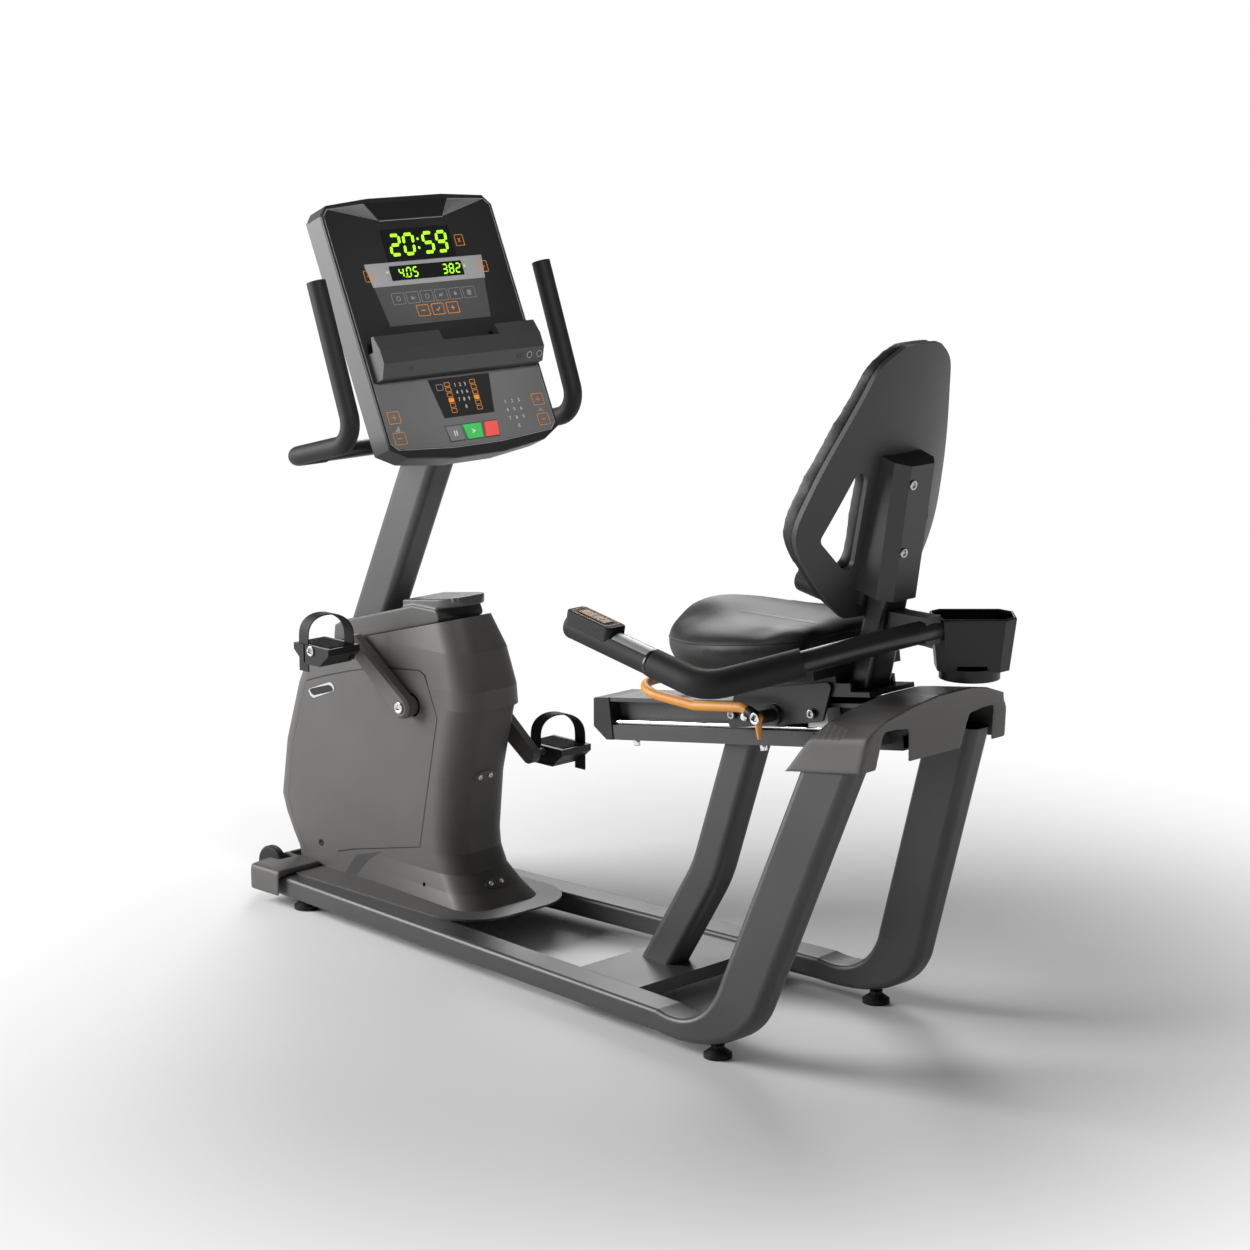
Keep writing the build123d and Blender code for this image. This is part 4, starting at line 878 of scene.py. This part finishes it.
# %% Bolts of the carriage, the rail and the lever
lever_x = 475
lever_z = 560
rail_x = 68
rail_z = 443
rail_slope = 0.1459
carriage_bolts = []
carriage_studs = []
lever_sleeves = []
lever_discs = []
rail_studs = []
for s in both_sides:
    for x, z in ((384, 545), (562, 576)):
        carriage_bolts.append(socket_bolt((x, s * 65.5, z), (0, s, 0), 7.5, 4.5))
    carriage_studs.append(rod((412, s * 61.5, 545), (412, s * 70, 545), 7.5, soft=0.45))
    lever_sleeves.append(rod((lever_x, s * 69, lever_z), (lever_x, s * 97, lever_z), 11.5))
    lever_sleeves.append(rod((450, s * 100, 568.8), (lever_x, s * 100, lever_z + 0.2), 9.6))
    lever_discs.append(socket_bolt((lever_x, s * 107, lever_z), (0, s, 0), 10, 3))
    for x in (124, 423):
        under = rail_z + (x - rail_x) * rail_slope
        rail_studs.append(rod((x, s * 30, under + 0.5), (x + 1.6, s * 30, under - 11.5), 6.2))
joined("carriage_bolts", carriage_bolts, plain_steel, "seat")
joined("carriage_studs", carriage_studs, bright_chrome, "seat")
joined("lever_sleeves", lever_sleeves, black_plastic, "release_lever")
joined("lever_discs", lever_discs, bright_chrome, "release_lever")
joined("rail_studs", rail_studs, bright_chrome, "frame")
print("carriage bolts", len(carriage_bolts), "rail studs", len(rail_studs))

# %% [markdown]
# Each seat grip ends in a pod with two thumb keys. Behind the pod a bright plate feels the rider's
# pulse. The plate starts as a flat grid and is rolled round the bar, so it hugs the grip.


# %% Seat grips
def rolled(start, along, up, r, half_angle, length, thick):
    """A plate rolled round a bar: start and sizes in mm, half_angle to each side of up."""
    rest()
    bpy.ops.mesh.primitive_grid_add(x_subdivisions=12, y_subdivisions=24, size=1)
    piece = bpy.context.object
    side = up.cross(along)
    for dot in piece.data.vertices:
        turn = dot.co.y * 2 * half_angle
        on_axis = start + along * (dot.co.x + 0.5) * length
        dot.co = (on_axis + (up * cos(turn) + side * sin(turn)) * r) / 1000
    return thickened(piece, thick)


bar_run = Vector((302, 0, -58)).normalized()
bar_up = Vector((58, 0, 302)).normalized()
for name, s in named_sides:
    tip = Vector((228, s * 285, 708))
    pulse = rolled(tip + bar_run * 106, bar_run, bar_up, 22.6, radians(48), length=82, thick=1.2)
    joined("pulse_plate_" + name, [pulse], silver_band, "seat")
    collar = rod(tip + bar_run * 186, tip + bar_run * 193.8, 23.9)
    joined("grip_collar_" + name, [collar], black_gloss, "seat")
    pod = plane_at((tip - bar_run * 2) / 1000, bar_run, level)
    cells = [rounded(20.5, -8.6, 47, 8.6, 2.5), rounded(53, -8.6, 79.5, 8.6, 2.5)]
    flat_piece("thumb_cells_" + name, cells, 31.9, 32.3, lever_orange, body="thumb_key_" + name, plane=pod)
    marks = plus(66, 0, 4.5, 2.0) + minus(33.5, 0, 4.5, 2.0)
    flat_piece("thumb_marks_" + name, marks, 32.2, 32.5, black_plastic, body="thumb_key_" + name, plane=pod)
    line = [rounded(8, -17, 92, 17, 7), rounded(9.6, -15.4, 90.4, 15.4, 5.6)]
    flat_piece("pod_line_" + name, line, 30.9, 31.25, lever_orange, body="seat", plane=pod)
print("grips", round(bar_run.x, 3))

# %% [markdown]
# Two bolts hold the back's bracket cover, and a rounded bead finishes the rim of the cup holder.
# The bolts are placed in the back's own leaning frame, which is easier to measure in. The bead is
# a closed curve with a round bevel.

# %% Bracket bolts and cup rim
back_tilt = radians(13.3)
back_frame = plane_at((0.589, 0, 0.735), (0, -1, 0), (sin(back_tilt), 0, cos(back_tilt)))
outward = back_frame.to_3x3() @ Vector((0, 0.08, -1))
bracket_bolts = []
for v, n in ((148, -92.2), (261, -83.2)):
    spot = back_frame @ (Vector((20, v, n)) / 1000)
    bracket_bolts.append(socket_bolt(spot * 1000, outward, 8, 3.4))
joined("bracket_bolts", bracket_bolts, plain_steel, "seat")


def bead(name, points, r):
    """A closed round bead along points (m), as a mesh; r in mm."""
    curve = bpy.data.curves.new(name, "CURVE")
    curve.dimensions = "3D"
    curve.bevel_depth = r / 1000
    curve.bevel_resolution = 3
    line = curve.splines.new("POLY")
    line.points.add(len(points) - 1)
    for dot, spot in zip(line.points, points):
        dot.co = (spot[0], spot[1], spot[2], 1)
    line.use_cyclic_u = True
    piece = bpy.data.objects.new(name, curve)
    scene.collection.objects.link(piece)
    pick(piece)
    bpy.ops.object.convert(target="MESH")
    bpy.ops.object.shade_smooth()
    return bpy.context.object


cup_x = 767
cup_y = 88
rim_z = 0.7478
diagonal = 0.5 ** 0.5
cup_rim = [(-62, -29), (-47, -44.3), (51, -44.3), (69.6, -25), (69.6, 25), (51, 44.3), (-47, 44.3), (-62, 29)]
rim_spots = []
for u, v in cup_rim:
    rim_spots.append(((cup_x + (u - v) * diagonal) / 1000, (cup_y + (u + v) * diagonal) / 1000, rim_z))
joined("cup_rim", [bead("cup_rim", rim_spots, 2.4)], black_plastic, "seat")
print("bracket bolts", len(bracket_bolts), "rim", len(rim_spots))

# %% [markdown]
# The sloping front of the device shelf has a few small sockets, two of them with a pale ring. They
# are flat drawings again, on a plane that leans away from the board.

# %% Ports of the device shelf
shelf_face = board @ plane_at((0, -0.070, 0.030), (1, 0, 0), (0, 24, 16))
ports = [circle(-130, 0, 4.5), circle(160, 0, 5.2), circle(185, 0, 5.2), rounded(128, -4, 143, 4, 1.2)]
flat_piece("shelf_ports", ports, -0.2, 0.5, black_gloss, plane=shelf_face)
port_rims = [circle(160, 0, 6.6), circle(160, 0, 5.2), circle(185, 0, 6.6), circle(185, 0, 5.2)]
flat_piece("port_rims", port_rims, -0.2, 0.7, print_grey, plane=shelf_face)
print("ports", len(ports))

# %% [markdown]
# The upholstery is pressed foam under a tight skin. Each pad begins as a slightly smaller copy of
# its solid, cut into even small squares. Cloth with a little air pressure swells it until the skin
# is tight; the side that rests on its carrier is pinned and stays flat. The swelling is capped, so
# the pad keeps the size that the frame gives it, and smoothing takes out the last ripples.

# %% Recipe for a pad
pad_grain = 5
swell_frames = 20


def swell(piece, cap):
    """Swells the active piece by air pressure, at most by cap (mm); its group named rests is pinned."""
    before = [dot.co.copy() for dot in piece.data.vertices]
    bpy.ops.object.modifier_add(type="CLOTH")
    cloth = piece.modifiers["Cloth"]
    cloth.settings.use_pressure = True
    cloth.settings.uniform_pressure_force = 2.5
    cloth.settings.tension_stiffness = 60
    cloth.settings.compression_stiffness = 60
    cloth.settings.bending_stiffness = 30
    cloth.settings.vertex_group_mass = "rests"
    cloth.settings.effector_weights.gravity = 0
    for step in range(1, swell_frames + 1):
        scene.frame_set(step)
    swollen = piece.evaluated_get(bpy.context.evaluated_depsgraph_get()).data
    after = [dot.co.copy() for dot in swollen.vertices]
    bpy.ops.object.modifier_remove(modifier="Cloth")
    scene.frame_set(1)
    for dot, old, new in zip(piece.data.vertices, before, after):
        shift = new - old
        dot.co = old + shift * min(1.0, cap / 1000 / max(shift.length, 1e-9))


def pad(node, name, rests, shrink, cap):
    """A padded piece that swells out of a node's solid; rests(spot, face) is true where it is pinned."""
    piece = even_copy(node, name, 0.2, pad_grain)
    pinned = [dot.index for dot in piece.data.vertices if rests(dot.co, dot.normal)]
    loose = [dot.index for dot in piece.data.vertices if not rests(dot.co, dot.normal)]
    piece.vertex_groups.new(name="rests").add(pinned, 1.0, "REPLACE")
    piece.vertex_groups.new(name="free").add(loose, 1.0, "REPLACE")
    bpy.ops.object.modifier_add(type="DISPLACE")
    piece.modifiers["Displace"].strength = -shrink / 1000
    piece.modifiers["Displace"].mid_level = 0
    piece.modifiers["Displace"].vertex_group = "free"
    bpy.ops.object.modifier_apply(modifier="Displace")
    smoothed(piece, 10)
    swell(piece, cap)
    smoothed(piece, 24, "free")
    smoothed(piece, 12)
    bpy.ops.object.modifier_add(type="SUBSURF")
    piece.modifiers["Subdivision"].levels = 1
    piece.modifiers["Subdivision"].render_levels = 1
    bpy.ops.object.modifier_apply(modifier="Subdivision")
    bpy.ops.object.shade_smooth()
    piece.vertex_groups.clear()
    piece.data.materials.clear()
    piece.data.materials.append(seat_hide)
    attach(piece, "seat")
    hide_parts(node)
    return piece


# %% [markdown]
# The cushion rests on its pan and the back pad on its shell. Both are measured in a frame of their
# own, so that low on the cushion and rear of the pad are one number each.

# %% Seat cushion and back pad
incline = radians(8.3)
pan_rim = 0.145
seat_frame = plane_at((rail_x / 1000, 0, rail_z / 1000), (cos(incline), 0, sin(incline)), level)
into_seat = seat_frame.inverted()
into_back = back_frame.inverted()


def on_pan(spot, face):
    """True low on the cushion, where the pan carries it."""
    return (into_seat @ spot).z < pan_rim


def on_shell(spot, face):
    """True on the rear of the back pad, where the shell carries it."""
    return (into_back.to_3x3() @ face).z < -0.5


cushion = pad("seat_cushion", "seat_upholstery", on_pan, shrink=3, cap=4)
back_rest = pad("back_pad", "back_upholstery", on_shell, shrink=3, cap=2)
print("pads", len(cushion.data.vertices), len(back_rest.data.vertices))

# %% [markdown]
# A welt runs round the cushion where its top meets its sides, and short stitches draw two lines
# along the top. Both are found by shooting rays at the finished pad, so they lie on its skin.

# %% Welt and stitches of the seat
welt_steps = 120
welt_heart = seat_frame @ Vector((0.385, 0, 0.190))
welt = []
for step in range(welt_steps):
    a = 2 * pi * step / welt_steps
    away = seat_frame.to_3x3() @ Vector((cos(a), sin(a), 0))
    hit, spot, face, index = cushion.ray_cast(welt_heart + away * 0.5, -away)
    if hit:
        welt.append(spot)
joined("seat_welt", [bead("seat_welt", welt, 1.3)], black_plastic, "seat")

stitch_pitch = 0.0066
stitch_half_gap = 0.064
down = seat_frame.to_3x3() @ Vector((0, 0, -1))
stitches = []
for s in both_sides:
    for step in range(26):
        start = seat_frame @ Vector((0.372 + step * stitch_pitch, s * stitch_half_gap, 0.4))
        hit, spot, face, index = cushion.ray_cast(start, down)
        if hit:
            rest()
            bpy.ops.mesh.primitive_cube_add(size=1)
            thread = bpy.context.object
            thread.scale = (0.0014, 0.008, 0.0011)
            bpy.ops.object.transform_apply(scale=True)
            stitches.append(placed(thread, spot * 1000, face))
joined("seat_stitches", stitches, black_gloss, "seat")
print("stitches", len(stitches), "welt", len(welt))
